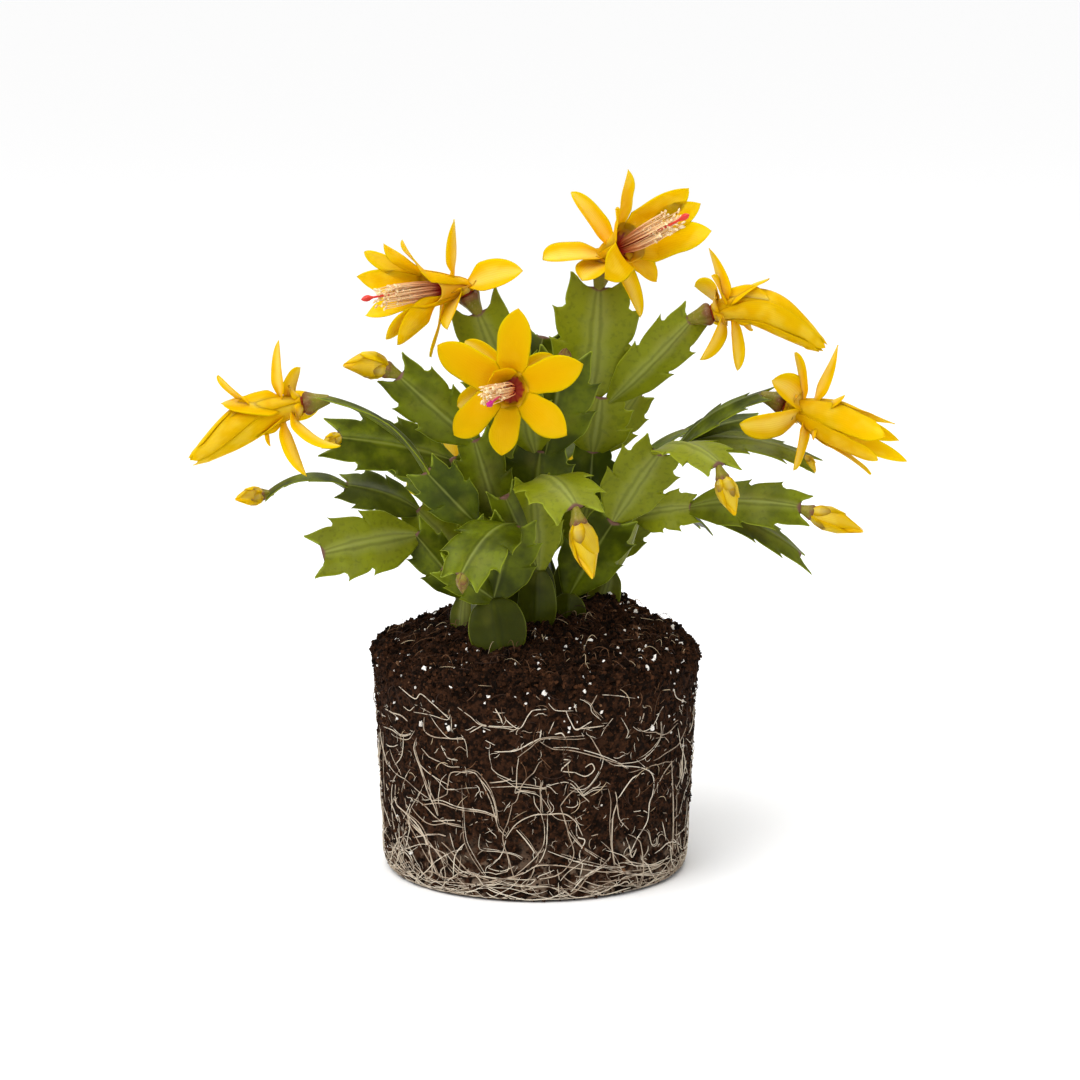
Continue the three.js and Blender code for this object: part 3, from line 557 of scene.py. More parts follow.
    # Crumbs of peat and bark, drier and browner than the mix below them, so every one is seen.
    CRUMB = Finish("peat_crumb", "0f0804", (
        Coat("2e1a0d", 1.0, Mark.ACROSS, 0.25, 0.8),
        Coat("4a2e1c", 1.0, Mark.ALONG, 0.76, 1.0),
        Coat("7c5a40", 1.0, Mark.SHADE, 0.975, 1.0),
        Coat("0f0805", 0.6, Spots(0.7, 3.0), 0.5, 0.65),
    ), roughness=0.92, ior=1.15, relief=((Spots(0.5, 4.0), 1.0),), relief_mm=0.2)
    # Expanded perlite: porous white glass foam, stained by the mix, with no gloss at all.
    PERLITE = Finish("expanded_perlite", "e6e0d6", (
        Coat("f7f4ee", 1.0, Mark.ACROSS, 0.2, 0.8),
        Coat("b9a68e", 0.7, Spots(0.8), 0.55, 0.75),
    ), roughness=0.9, ior=1.5, relief=((Spots(0.4, 4.0), 1.0),), relief_mm=0.15, glow=0.15,
        glow_reach=(1.0, 1.0, 1.0), glow_mm=0.6)
    # Living roots: cream cork on a wet core, stained brown where they are older.
    ROOT = Finish("living_root", "a5917b", (
        Coat("d8cab4", 1.0, Mark.SHADE, 0.15, 0.75),
        Coat("ddd1be", 0.8, Mark.SHADE, 0.7, 1.0),
        Coat("5c4636", 0.75, Spots(3.5), 0.52, 0.68),
    ), roughness=0.62, ior=1.4, relief=((Spots(0.8), 1.0),), relief_mm=0.06, glow=0.08,
        glow_reach=(1.0, 0.8, 0.6), glow_mm=0.5)
    # Peat fibre: dry brown threads of old moss and coir, some of them bleached.
    FIBRE = Finish("peat_fibre", "352014", (
        Coat("6b4a2f", 1.0, Mark.SHADE, 0.2, 0.7),
        Coat("c9b391", 1.0, Mark.SHADE, 0.8, 0.9),
    ), roughness=0.85, ior=1.4, relief=((Spots(0.6), 1.0),), relief_mm=0.05)
    # Filament: a thin wet stalk, peach with a red foot.
    FILAMENT = Finish("stamen_filament", "c8342e", (
        Coat("e8a070", 1.0, Mark.ALONG, 0.03, 0.3),
        Coat("f4c99a", 1.0, Mark.ALONG, 0.3, 0.75),
    ), roughness=0.5, ior=1.4, relief=((Spots(0.4), 1.0),), relief_mm=0.02, glow=0.3)
    # Anther: dusty with pollen, so matt cream.
    ANTHER = Finish("pollen_anther", "e0b878", (
        Coat("f6e2ba", 1.0, Spots(0.5), 0.35, 0.6),
    ), roughness=0.85, ior=1.4, relief=((Spots(0.25), 1.0),), relief_mm=0.05, glow=0.2)
    # Style and stigma: smooth wet flesh, red below and magenta at its lobes.
    STYLE = Finish("magenta_style", "c8402c", (
        Coat("b30d78", 1.0, Mark.ALONG, 0.55, 0.9),
    ), roughness=0.4, ior=1.4, relief=((Spots(0.5), 1.0),), relief_mm=0.02, glow=0.2)
    # Style and stigma of the older bloom: orange-red all the way up.
    OLD_STYLE = Finish("orange_style", "c8402c", (
        Coat("d2362a", 1.0, Mark.ALONG, 0.3, 0.9),
    ), roughness=0.4, ior=1.4, relief=((Spots(0.5), 1.0),), relief_mm=0.02, glow=0.2)


Finishes = dict[Look, Material]


# Pieces, and the trees that grow them


def dress(piece: Thing, nodes: Sequence[str] = ()) -> None:
    """Seats a finished piece in the frame.

    Args:
        piece: The piece's object.
        nodes: The solids that it stands for.
    """
    if nodes:
        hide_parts(*nodes)
    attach(piece, BODY)
    LOG.info("%s: %d triangles", piece.name, sum(len(face.vertices) - 2 for face in piece.data.polygons))


def grown_by(tree: Tree, base: bpy.types.Mesh, name: str, values: dict[str, Any]) -> Thing:
    """Lets a node tree grow a piece and keeps the result as a plain mesh.

    Args:
        tree: The tree, with named inputs.
        base: The mesh that it starts from.
        name: The piece's name.
        values: A value for each named input.

    Returns:
        The piece's object, with no modifier left.
    """
    seed = placed(name + "_base", base)
    modifier = seed.modifiers.new(name, "NODES")
    modifier.node_group = tree
    for item in tree.interface.items_tree:
        if item.name in values:
            modifier[item.identifier] = values[item.name]
    graph = bpy.context.evaluated_depsgraph_get()
    mesh = bpy.data.meshes.new_from_object(seed.evaluated_get(graph), depsgraph=graph)
    bpy.data.objects.remove(seed)
    mesh.name = name
    return placed(name, mesh)


def new_tree(name: str, inputs: dict[str, str]) -> tuple[Tree, Any]:
    """Starts a geometry tree.

    Args:
        name: The tree's name.
        inputs: The socket type of each named input.

    Returns:
        The tree and its inputs, to be read by name.
    """
    tree = bpy.data.node_groups.new(name, "GeometryNodeTree")
    tree.interface.new_socket("Geometry", in_out="INPUT", socket_type="NodeSocketGeometry")
    for label, kind in inputs.items():
        tree.interface.new_socket(label, in_out="INPUT", socket_type="NodeSocket" + kind)
    tree.interface.new_socket("Geometry", in_out="OUTPUT", socket_type="NodeSocketGeometry")
    return tree, put(tree, "NodeGroupInput").outputs


def grain_tree() -> Tree:
    """Strews angular grains on a surface, more where its named weight is higher.

    Returns:
        The tree.
    """
    flattest, tallest = (0.5, 0.6, 0.5), (1.4, 1.3, 1.0)
    dents, dent_depth, rarity_of_large = 3.1, 2.0, 2.2
    tree, get = new_tree("strewn_grains", {
        "Density": "Float", "Weight": "String", "Size": "Float", "Spread": "Float", "Rounding": "Int",
        "Seed": "Int", "Finish": "Material",
    })
    weight = put(tree, "GeometryNodeInputNamedAttribute", {"Name": get["Weight"]}, data_type="FLOAT")
    density = put(tree, "ShaderNodeMath", {0: get["Density"], 1: weight}, operation="MULTIPLY")
    strewn = put(tree, "GeometryNodeDistributePointsOnFaces", {
        "Mesh": get["Geometry"], "Density": density, "Seed": get["Seed"],
    })
    block = put(tree, "GeometryNodeMeshCube", {"Size": (1.5, 1.5, 1.5)})
    rounded = put(tree, "GeometryNodeSubdivisionSurface", {"Mesh": block, "Level": get["Rounding"]})
    place = put(tree, "GeometryNodeInputPosition")
    lumps = put(tree, "ShaderNodeTexNoise", {"Vector": place, "Scale": dents})
    centred = put(tree, "ShaderNodeVectorMath", {0: lumps.outputs["Color"], 1: (0.5, 0.5, 0.5)},
                  operation="SUBTRACT")
    pushed = put(tree, "ShaderNodeVectorMath", {0: centred, "Scale": dent_depth}, operation="SCALE")
    lump = put(tree, "GeometryNodeSetPosition", {"Geometry": rounded, "Offset": pushed})
    turned = put(tree, "FunctionNodeRandomValue", {0: (0, 0, 0), 1: (ANY_PHASE,) * 3, "Seed": get["Seed"]},
                 data_type="FLOAT_VECTOR")
    small = put(tree, "ShaderNodeMath", {0: get["Size"], 1: get["Spread"]}, operation="DIVIDE")
    large = put(tree, "ShaderNodeMath", {0: get["Size"], 1: get["Spread"]}, operation="MULTIPLY")
    chance = put(tree, "FunctionNodeRandomValue", {"Seed": 12}, data_type="FLOAT")
    rare = put(tree, "ShaderNodeMath", {0: chance.outputs[1], 1: rarity_of_large}, operation="POWER")
    sized = put(tree, "ShaderNodeMapRange", {0: rare, 3: small, 4: large})
    squashed = put(tree, "FunctionNodeRandomValue", {0: flattest, 1: tallest}, data_type="FLOAT_VECTOR")
    scale = put(tree, "ShaderNodeVectorMath", {0: squashed, "Scale": sized.outputs[0]}, operation="SCALE")
    laid = put(tree, "GeometryNodeInstanceOnPoints", {
        "Points": strewn, "Instance": lump, "Rotation": turned, "Scale": scale,
    })
    own = put(tree, "FunctionNodeRandomValue", {"Seed": 5}, data_type="FLOAT_VECTOR")
    told = put(tree, "GeometryNodeStoreNamedAttribute", {"Geometry": laid, "Name": "mark", "Value": own},
               data_type="FLOAT_COLOR", domain="INSTANCE")
    real = put(tree, "GeometryNodeRealizeInstances", {0: told})
    ended = put(tree, "GeometryNodeSetMaterial", {"Geometry": real, "Material": get["Finish"]})
    put(tree, "NodeGroupOutput", {0: ended})
    return tree


def thread_tree() -> Tree:
    """Turns every line of a mesh into a round thread as thick as its named girth.

    Returns:
        The tree.
    """
    tree, get = new_tree("threads_along_lines", {"Sides": "Int", "Finish": "Material"})
    line = put(tree, "GeometryNodeMeshToCurve", {"Mesh": get["Geometry"]})
    girth = put(tree, "GeometryNodeInputNamedAttribute", {"Name": "girth"}, data_type="FLOAT")
    ring = put(tree, "GeometryNodeCurvePrimitiveCircle", {"Resolution": get["Sides"], "Radius": 1.0})
    skin = put(tree, "GeometryNodeCurveToMesh", {
        "Curve": line, "Profile Curve": ring, "Scale": girth, "Fill Caps": True,
    })
    soft = put(tree, "GeometryNodeSetShadeSmooth", {0: skin})
    real = put(tree, "GeometryNodeRealizeInstances", {0: soft})
    ended = put(tree, "GeometryNodeSetMaterial", {"Geometry": real, "Material": get["Finish"]})
    put(tree, "NodeGroupOutput", {0: ended})
    return tree


@dataclass
class Threads:
    """Lines in millimetres that a tree turns into threads."""

    lines: list[Array] = field(default_factory=list)
    girths: list[Array] = field(default_factory=list)
    marks: list[Array] = field(default_factory=list)
    end_girth: float = 0.35
    fullness: float = 0.35

    def add(self, line: Array, girth_mm: float, shade: float) -> None:
        """Adds one thread that thins out at both ends.

        Args:
            line: Its points.
            girth_mm: Its radius.
            shade: Its own number from 0 to 1.
        """
        t = np.linspace(0.0, 1.0, len(line))
        middle = np.sin(math.pi * t) ** self.fullness
        self.lines.append(line)
        self.girths.append(girth_mm * MM * (self.end_girth + (1 - self.end_girth) * middle))
        self.marks.append(marks_of(np.zeros(len(line)), t, shade, 0.0))

    def piece(self, name: str, tree: Tree, finish: Material, sides: int) -> Thing:
        """Makes the piece.

        Args:
            name: The piece's name.
            tree: The tree that skins the lines.
            finish: The threads' material.
            sides: How many sides a thread has.

        Returns:
            The piece's object.
        """
        edges = []
        first = 0
        for line in self.lines:
            edges.extend((first + k, first + k + 1) for k in range(len(line) - 1))
            first += len(line)
        mesh = bpy.data.meshes.new(name + "_lines")
        mesh.from_pydata(np.concatenate(self.lines) * MM, edges, [])
        store(mesh, "girth", np.concatenate(self.girths))
        store(mesh, "mark", np.concatenate(self.marks))
        return grown_by(tree, mesh, name, {"Sides": sides, "Finish": finish})


# Stem joints


class Run(Enum):
    """How the edge of a joint runs from one point of its margin to the next, and in how many steps."""

    ROUND = 4
    TOOTH = 7
    NOTCH = 3
    HORN = 6


@dataclass(frozen=True)
class Margin:
    """The outline of a joint as shares of its length and its half width."""

    points: tuple[Point, ...]
    runs: tuple[Run, ...]
    age: float
    rib_mm: float
    blade_mm: float

    def edge(self, places: Array) -> Array:
        """Draws one edge with its teeth.

        Args:
            places: How far along and how far out each point of the margin is.

        Returns:
            The edge's points, close together.
        """
        line = [places[:1]]
        for k, run in enumerate(self.runs):
            a, b = places[k], places[k + 1]
            step = b - a
            if run is Run.ROUND:
                before = places[k - 1] if k else places[1] * (1, -1)
                ahead = k + 2 < len(places) and self.runs[k + 1] is Run.ROUND
                after = places[k + 2] if ahead else b + step
                handles = a + (b - before) / 6, b - (after - a) / 6
            elif run is Run.TOOTH:
                handles = a + (0.2 * step[0], 0.11 + 0.35 * step[1]), a + (0.82 * step[0], 0.5 * step[1])
            elif run is Run.NOTCH:
                handles = a + (-0.03, 0.35 * step[1]), b + (-0.035, -0.12 * step[1])
            else:
                handles = a + (0.08, 0.08), b + (-0.09, -0.05)
            line.append(bezier(a, *handles, b, run.value))
        return np.concatenate(line)

    def growth(self) -> Array:
        """Gives each row's mark: up to 0.9 on the way to the apex, and from there to 1 in it.

        Returns:
            One number for each row.
        """
        last = self.runs[-1].value if self.age == 0 else 0
        before = sum(run.value for run in self.runs) - last
        return np.concatenate([np.linspace(0, 0.9, before + 1), np.linspace(0.9, 1, last + 1)[1:]])

    def middle(self) -> Array:
        """Gives how far along the rib each row of the grid is.

        Returns:
            One share for each row.
        """
        steps = [self.points[0][2]]
        for k, run in enumerate(self.runs):
            steps.extend(np.linspace(self.points[k][2], self.points[k + 1][2], run.value + 1)[1:])
        return np.array(steps)


YOUNG = Margin(
    ((-0.06, 0, -0.06), (0.08, 0.46, 0.07), (0.25, 0.82, 0.22), (0.535, 1.1, 0.42), (0.53, 0.83, 0.52),
     (0.835, 1.06, 0.66), (0.83, 0.75, 0.75), (1.1, 0.69, 0.8), (0.985, 0.36, 0.985)),
    (Run.ROUND, Run.ROUND, Run.TOOTH, Run.NOTCH, Run.TOOTH, Run.NOTCH, Run.HORN, Run.ROUND),
    age=0.0, rib_mm=0.85, blade_mm=0.42,
)
OLD = Margin(
    ((-0.2, 0, -0.2), (0.16, 0.52, 0.16), (0.36, 0.9, 0.36), (0.6, 1.0, 0.6), (0.84, 0.78, 0.84),
     (0.97, 0.36, 0.97)),
    (Run.ROUND,) * 5, age=1.0, rib_mm=1.0, blade_mm=0.6,
)
ACROSS = np.array([-1, -0.965, -0.86, -0.68, -0.48, -0.28, -0.12, 0, 0.12, 0.28, 0.48, 0.68, 0.86, 0.965, 1])


class Spine:
    """The bowed middle line of a joint."""

    def __init__(self, start: Array, end: Array, face: Point, bow: float) -> None:
        """Bends the line from start to end.

        Args:
            start: Where the line starts.
            end: Where it ends.
            face: Points to the side that it bends out to.
            bow: How far out its middle is.
        """
        self.start = np.array(start, float)
        self.chord = np.array(end, float) - self.start
        self.length = float(np.linalg.norm(self.chord))
        self.along = self.chord / self.length
        hint = np.array(face, float)
        self.normal = unit(hint - self.along * float(hint @ self.along))
        self.across = np.cross(self.along, self.normal)
        self.bow = bow

    def at(self, share: Array | float) -> tuple[Array, Array]:
        """Finds places on the line, or straight on past its ends.

        Args:
            share: How far along, from 0 to 1 between the ends.

        Returns:
            The points, and the way that the flat side faces there.
        """
        share = np.asarray(share, float)[..., None]
        inside = np.clip(share, 0.0, 1.0)
        slope = self.bow * 4 * (1 - 2 * inside) / self.length
        tangent = unit(self.along + self.normal * slope)
        point = self.start + self.chord * inside + self.normal * (self.bow * 4 * inside * (1 - inside))
        return point + tangent * ((share - inside) * self.length), unit(self.normal - self.along * slope)


@dataclass(frozen=True)
class Joint:
    """One flat joint: where its apex is, how wide it is, and what it grows out of."""

    parent: int | None
    start: Point | None
    end: Point
    width: float
    face: Point
    bow: float
    beside: float
    margin: Margin


def grown(parent: int, end: Point, width: float, face: Point, bow: float = 2, beside: float = 0) -> Joint:
    """Describes a joint that grows from the apex of an earlier one."""
    return Joint(parent, None, end, width, face, bow, beside, YOUNG)


def rooted(start: Point, end: Point, width: float, face: Point, bow: float = 1) -> Joint:
    """Describes a joint that stands in the soil."""
    return Joint(None, start, end, width, face, bow, 0, OLD)


FRONT: Point = (0, -1, 0.15)
UP: Point = (0, -0.35, 1)
STEMS: dict[str, list[Joint]] = {
    "front_left": [
        rooted((-12, -36, 84), (-16, -33, 112), 22, FRONT), grown(0, (-8, -38, 141), 24, FRONT, -2),
        grown(1, (-27, -59, 124), 25, (0, -0.5, 1), 6), grown(0, (-35, -41, 125), 13, (0.3, -1, 0.3), 1),
    ],
    "left_low": [
        rooted((-27, -8, 84), (-26, -6, 108), 13, (-0.6, -1, 0)), grown(0, (-46, -10, 132), 17, FRONT, 2),
        grown(1, (-81, -22, 126), 25, (0, -1, 0.5), 3),
    ],
    "front_centre": [
        rooted((0, -15, 88), (1, -17, 120), 15, FRONT), grown(0, (-1, -28, 155), 20, FRONT, -2),
        grown(1, (15, -62, 150), 29, UP, 6), grown(0, (-12, -27, 150), 17, (0.2, -1, 0), -1),
    ],
    "right_centre": [
        rooted((12, 1, 88), (13, 0, 107), 14, FRONT), grown(0, (30, -8, 137), 24, (0.2, -1, 0.1), -2),
        grown(1, (47, -16, 165), 25, (0.3, -1, 0.1), -2), grown(2, (68, -46, 163), 24, (0, -0.2, 1), 5),
    ],
    "right_low": [
        rooted((22, 13, 86), (30, 10, 114), 13, (-0.3, -1, 0)),
        grown(0, (39, 6, 136), 13, (1, -0.4, -0.3), 1), grown(1, (60, -2, 140), 17, (0, -1, 0.6), 2),
        grown(2, (101, -14, 142), 19, (0, -1, 0.7), 5), grown(2, (102, 8, 119), 17, (0, -0.5, 1), 4),
        grown(1, (65, 22, 128), 15, (0, -0.15, 1), 5),
    ],
    "right_high": [
        rooted((22, 27, 86), (27, 27, 115), 14, FRONT), grown(0, (43, 24, 140), 19, FRONT, 1),
        grown(1, (57, 18, 162), 15, (1, -0.4, -0.5), 1), grown(2, (88, 8, 182), 17, (0, -0.3, 1), 3),
        grown(2, (88, 34, 168), 17, (0, -0.6, 1), 3), grown(2, (105, 12, 156), 18, (0, -0.3, 1), 5),
    ],
    "right_upright": [
        rooted((10, 16, 88), (15, 17, 118), 14, FRONT), grown(0, (21, 13, 141), 19, FRONT, 1),
        grown(1, (22, 8, 161), 20, FRONT, 1), grown(2, (25, 2, 183), 26, FRONT, 1),
        grown(3, (24, -4, 226), 32, FRONT, 2, -4), grown(3, (59, -8, 214), 19, (0.2, -1, 0), 2, 4),
        grown(2, (40, 22, 181), 18, FRONT, 1),
    ],
    "centre": [
        rooted((1, -1, 88), (1, -5, 121), 14, FRONT), grown(0, (-1, -9, 142), 21, FRONT, 1),
        grown(1, (2, -14, 165), 27, FRONT, 1), grown(2, (11, -22, 201), 29, FRONT, 2, 2),
        grown(2, (-5, -27, 189), 20, (-0.1, -1, -0.3), 1, -2),
    ],
    "left_upright": [
        rooted((-8, 9, 88), (-10, 8, 120), 14, FRONT), grown(0, (-11, 5, 142), 19, FRONT, 1),
        grown(1, (-4, 0, 173), 22, FRONT, 1), grown(2, (-22, -8, 217), 29, FRONT, 2),
        grown(2, (3, 10, 205), 20, FRONT, 1),
    ],
    "left_middle": [
        rooted((-10, -9, 88), (-10, -11, 119), 13, (-0.5, -1, 0)), grown(0, (-14, -17, 139), 17, FRONT, 1),
        grown(1, (-23, -24, 171), 19, FRONT, 1), grown(2, (-51, -32, 196), 21, (-0.1, -1, 0.1), 2),
    ],
    "left_arching": [
        rooted((-20, -18, 88), (-19, -21, 121), 13, (-1, -1, 0)),
        grown(0, (-23, -28, 141), 15, (-0.8, -1, 0), 1), grown(1, (-41, -37, 161), 19, (-0.5, -1, 0.6), 1),
        grown(2, (-78, -42, 188), 17, (-0.5, 0, 1), 5),
    ],
    "left_back": [
        rooted((-17, 14, 88), (-21, 14, 119), 14, FRONT), grown(0, (-33, 6, 159), 22, FRONT, 1),
        grown(1, (-76, -8, 168), 23, (0, -1, 0.6), 3),
    ],
    "left_trailing": [
        rooted((-21, 3, 88), (-27, 4, 117), 13, FRONT), grown(0, (-46, 2, 139), 19, (0, -1, 0.4), 1),
        grown(1, (-73, 0, 148), 18, (0, -0.8, 0.8), 3), grown(2, (-101, -4, 146), 13, (0, 0.02, 1), 5),
    ],
    "back_centre": [
        rooted((2, 24, 88), (4, 27, 117), 17, (0.9, 0.5, 0)),
        grown(0, (5, 44, 147), 24, (-0.9, 0.5, 0.3), 2), grown(1, (6, 78, 160), 24, (0, 0.5, 1), 4),
    ],
    "back_left": [
        rooted((-14, 26, 88), (-18, 30, 115), 16, (-0.8, 0.6, 0)),
        grown(0, (-30, 46, 138), 22, (-0.7, 0.7, 0.3), 2), grown(1, (-32, 76, 136), 22, (0, 0.5, 1), 4, -2),
        grown(1, (-57, 56, 158), 22, (-0.7, 1, 0.4), 2, 2),
    ],
    "back_right": [
        rooted((16, 33, 87), (22, 37, 114), 16, (0.9, 0.5, 0)),
        grown(0, (38, 52, 144), 22, (0.8, 0.4, -0.3), 2), grown(1, (60, 70, 158), 22, (0.3, 0.5, 1), 3),
        grown(2, (84, 80, 154), 19, (0.2, 0.3, 1), 4),
    ],
    "back_upright": [
        rooted((-4, 19, 88), (-5, 21, 120), 15, (0, 1, 0.3)), grown(0, (-6, 26, 158), 24, (0.9, 0.6, 0), 1),
        grown(1, (-14, 40, 193), 26, (-0.6, 1, 0.2), 2, -2), grown(1, (12, 48, 184), 22, (0.8, 1, 0.2), 2, 2),
    ],
}


@dataclass
class Stem:
    """A chain of flat joints."""

    name: str
    number: int
    joints: list[Joint]
    wave_mm: float = 0.5
    waves: float = 1.3
    curl: float = 0.06
    fold_mm: float = 0.9
    fold_reach_mm: float = 3.5
    rib_reach_mm: float = 1.5
    unevenness: float = 0.06
    socket: float = 0.955
    apex: float = 0.985
    seeds: int = 31
    spines: list[Spine] = field(default_factory=list)

    def __post_init__(self) -> None:
        """Seats the neck of every joint in the apex of its parent."""
        for joint in self.joints:
            start = joint.start
            if joint.parent is not None:
                parent = self.spines[joint.parent]
                start = parent.at(self.socket)[0] + parent.across * joint.beside
            self.spines.append(Spine(start, joint.end, joint.face, joint.bow))

    def tip(self, k: int) -> Array:
        """Finds the apex of a joint, where a bloom or bud sits."""
        return self.spines[k].at(self.apex)[0]

    def edges(self, joint: Joint, random: Stream) -> list[Array]:
        """Draws both edges of a joint, no two alike.

        Args:
            joint: The joint.
            random: Its stream of numbers.

        Returns:
            The left and the right edge, as shares along and shares of the half width.
        """
        last = len(joint.margin.points) - 1
        drawn = []
        for _ in range(2):
            places = []
            for k, (along, out, _) in enumerate(joint.margin.points):
                if 2 < k < last:
                    along += (random() - 0.5) * self.unevenness
                places.append((along, out * (1 + (random() - 0.5) * self.unevenness)))
            drawn.append(joint.margin.edge(np.array(places)))
        return drawn

    def grow(self, skin: Skin, k: int) -> None:
        """Adds one joint to the stem's skin.

        Args:
            skin: The skin that gets it.
            k: The joint's number.
        """
        joint, spine, margin = self.joints[k], self.spines[k], self.joints[k].margin
        random = Stream(Seed.JOINTS, self.seeds * self.number + k)
        left, right = self.edges(joint, random)
        phase, curl, shade = random(), random() - 0.5, random()
        middle = margin.middle()[:, None]
        side = np.where(ACROSS < 0, 0, 1)
        edge_along = np.stack([left[:, 0], right[:, 0]], -1)[:, side]
        edge_out = np.stack([-left[:, 1], right[:, 1]], -1)[:, side] * joint.width / 2
        near = np.abs(ACROSS)
        along = middle + (edge_along - middle) * near**1.3
        point, face = spine.at(along)
        out = edge_out * near
        # The thin sides wave and curl a little, and a fold stands up along the rib.
        turns = 2 * math.pi * (self.waves * along + phase)
        wave = self.wave_mm * np.sin(turns) * near**2 * np.sign(ACROSS + 0.01)
        bend = curl * self.curl * np.abs(edge_out) * near**2
        soft = ease(middle, 0.0, 0.3)
        grid = point + spine.across * out[..., None] + face * ((wave + bend) * soft)[..., None]
        fold = self.fold_mm * np.exp(-((out / self.fold_reach_mm) ** 2)) * soft
        grid = grid + face * fold[..., None]
        # The rib thickens the middle of the blade, and thins out towards the apex.
        rib = margin.rib_mm * np.exp(-((out / self.rib_reach_mm) ** 2)) * (1 - 0.45 * ease(middle, 0.3, 1.0))
        half = (margin.blade_mm + rib) * np.sqrt(1 - near**10)
        half = np.minimum(half, 0.2 + 1.2 * np.abs(edge_out))
        skin.add(*blade(grid, half, marks_of(near[None, :], margin.growth()[:, None], shade, margin.age)))

    def build(self, finish: Material) -> None:
        """Makes the whole stem.

        Args:
            finish: Its one material.
        """
        skin = Skin()
        for k in range(len(self.joints)):
            self.grow(skin, k)
        dress(skin.piece(f"joints_{self.name}", [finish]), [f"stem_{self.name}"])


# Blooms and buds


class Axis:
    """The bent axis of a bloom or bud."""

    STEP = 0.25
    LOWEST = -4.0
    HIGHEST = 90.0

    def __init__(self, seat: Array, stalk: Point, mouth: Point, bend: Pair) -> None:
        """Bends from the stalk's way to the mouth's way.

        Args:
            seat: The point at height 0.
            stalk: The way of the stalk.
            mouth: The way of the mouth.
            bend: The heights between which the axis bends.
        """
        first, last = unit(np.array(stalk, float)), unit(np.array(mouth, float))
        self.heights = np.arange(self.LOWEST, self.HIGHEST, self.STEP)
        share = ease(self.heights, *bend)[:, None]
        self.ways = unit(first * (1 - share) + last * share)
        middle = ease(self.heights + self.STEP / 2, *bend)[:, None]
        steps = unit(first * (1 - middle) + last * middle) * self.STEP
        walked = np.concatenate([np.zeros((1, 3)), np.cumsum(steps[:-1], 0)])
        self.points = seat + walked - walked[int(-self.LOWEST / self.STEP)]
        upright = unit(np.array([0.0, 0.0, 1.0]) - last * last[2])
        turn = np.cross(last, self.ways)
        cosine = self.ways @ last
        first_turn = np.cross(turn, upright)
        self.ups = upright + first_turn + np.cross(turn, first_turn) / (1 + cosine)[:, None]

    def read(self, table: Array, height: Array) -> Array:
        """Reads a table of the axis at heights."""
        return np.stack([np.interp(height, self.heights, table[:, i]) for i in range(3)], -1)

    def at(self, height: Array | float) -> tuple[Array, Array, Array, Array]:
        """Finds the frame at heights.

        Args:
            height: One height or many, in millimetres.

        Returns:
            The points, the ways out, the ways up, and the sides.
        """
        height = np.asarray(height, float)
        out, up = unit(self.read(self.ways, height)), unit(self.read(self.ups, height))
        return self.read(self.points, height), out, up, np.cross(up, out)

    def facing(self, turn: Array | float, height: Array | float) -> tuple[Array, Array, Array]:
        """Finds the ways that lead out from the axis.

        Args:
            turn: The turns in degrees.
            height: The heights.

        Returns:
            The points on the axis, the ways along it, and the ways from it to the turns.
        """
        point, out, up, side = self.at(height)
        angle = np.radians(np.asarray(turn, float))[..., None]
        return point, out, up * np.cos(angle) + side * np.sin(angle)

    def place(self, turn: Array | float, height: Array | float, radius: Array | float) -> Array:
        """Finds points round the axis from their turns in degrees, heights and distances from it."""
        point, _, away = self.facing(turn, height)
        return point + away * np.asarray(radius, float)[..., None]


@dataclass(frozen=True)
class Tepal:
    """One petal: its turn and leans in degrees, where it starts, its length and its width."""

    turn: float
    start: float
    length: float
    width: float
    lean: float
    tip_lean: float
    twist: float = 0.0


def lobe(turn: float, length: float, width: float, lean: float, tip_lean: float, twist: float = 0) -> Tepal:
    """Describes a petal that parts from the corolla's rim."""
    return Tepal(turn, 0, length, width, lean, tip_lean, twist)


def lobes(count: int, length: float, width: float, lean: float, tip_lean: float) -> tuple[Tepal, ...]:
    """Describes even lobes, every other one a little shorter and more open.

    Args:
        count: How many there are.
        length: How long the longer ones are.
        width: How wide they are.
        lean: Their lean at the rim.
        tip_lean: Their lean at the tip.

    Returns:
        The lobes.
    """
    made = []
    for k in range(count):
        odd = k % 2
        turn = 360 * k / count + 4 * odd
        made.append(lobe(turn, length * (1 - 0.14 * odd), width, lean + 4 * odd, tip_lean + 6 * odd))
    return tuple(made)


@dataclass(frozen=True)
class Form:
    """How a corolla opens: its rings of height and radius, its floor, its lobes and its spiral."""

    rings: tuple[Pair, ...]
    floor: Pair
    lobes: tuple[Tepal, ...]
    spiral: float = 0.0


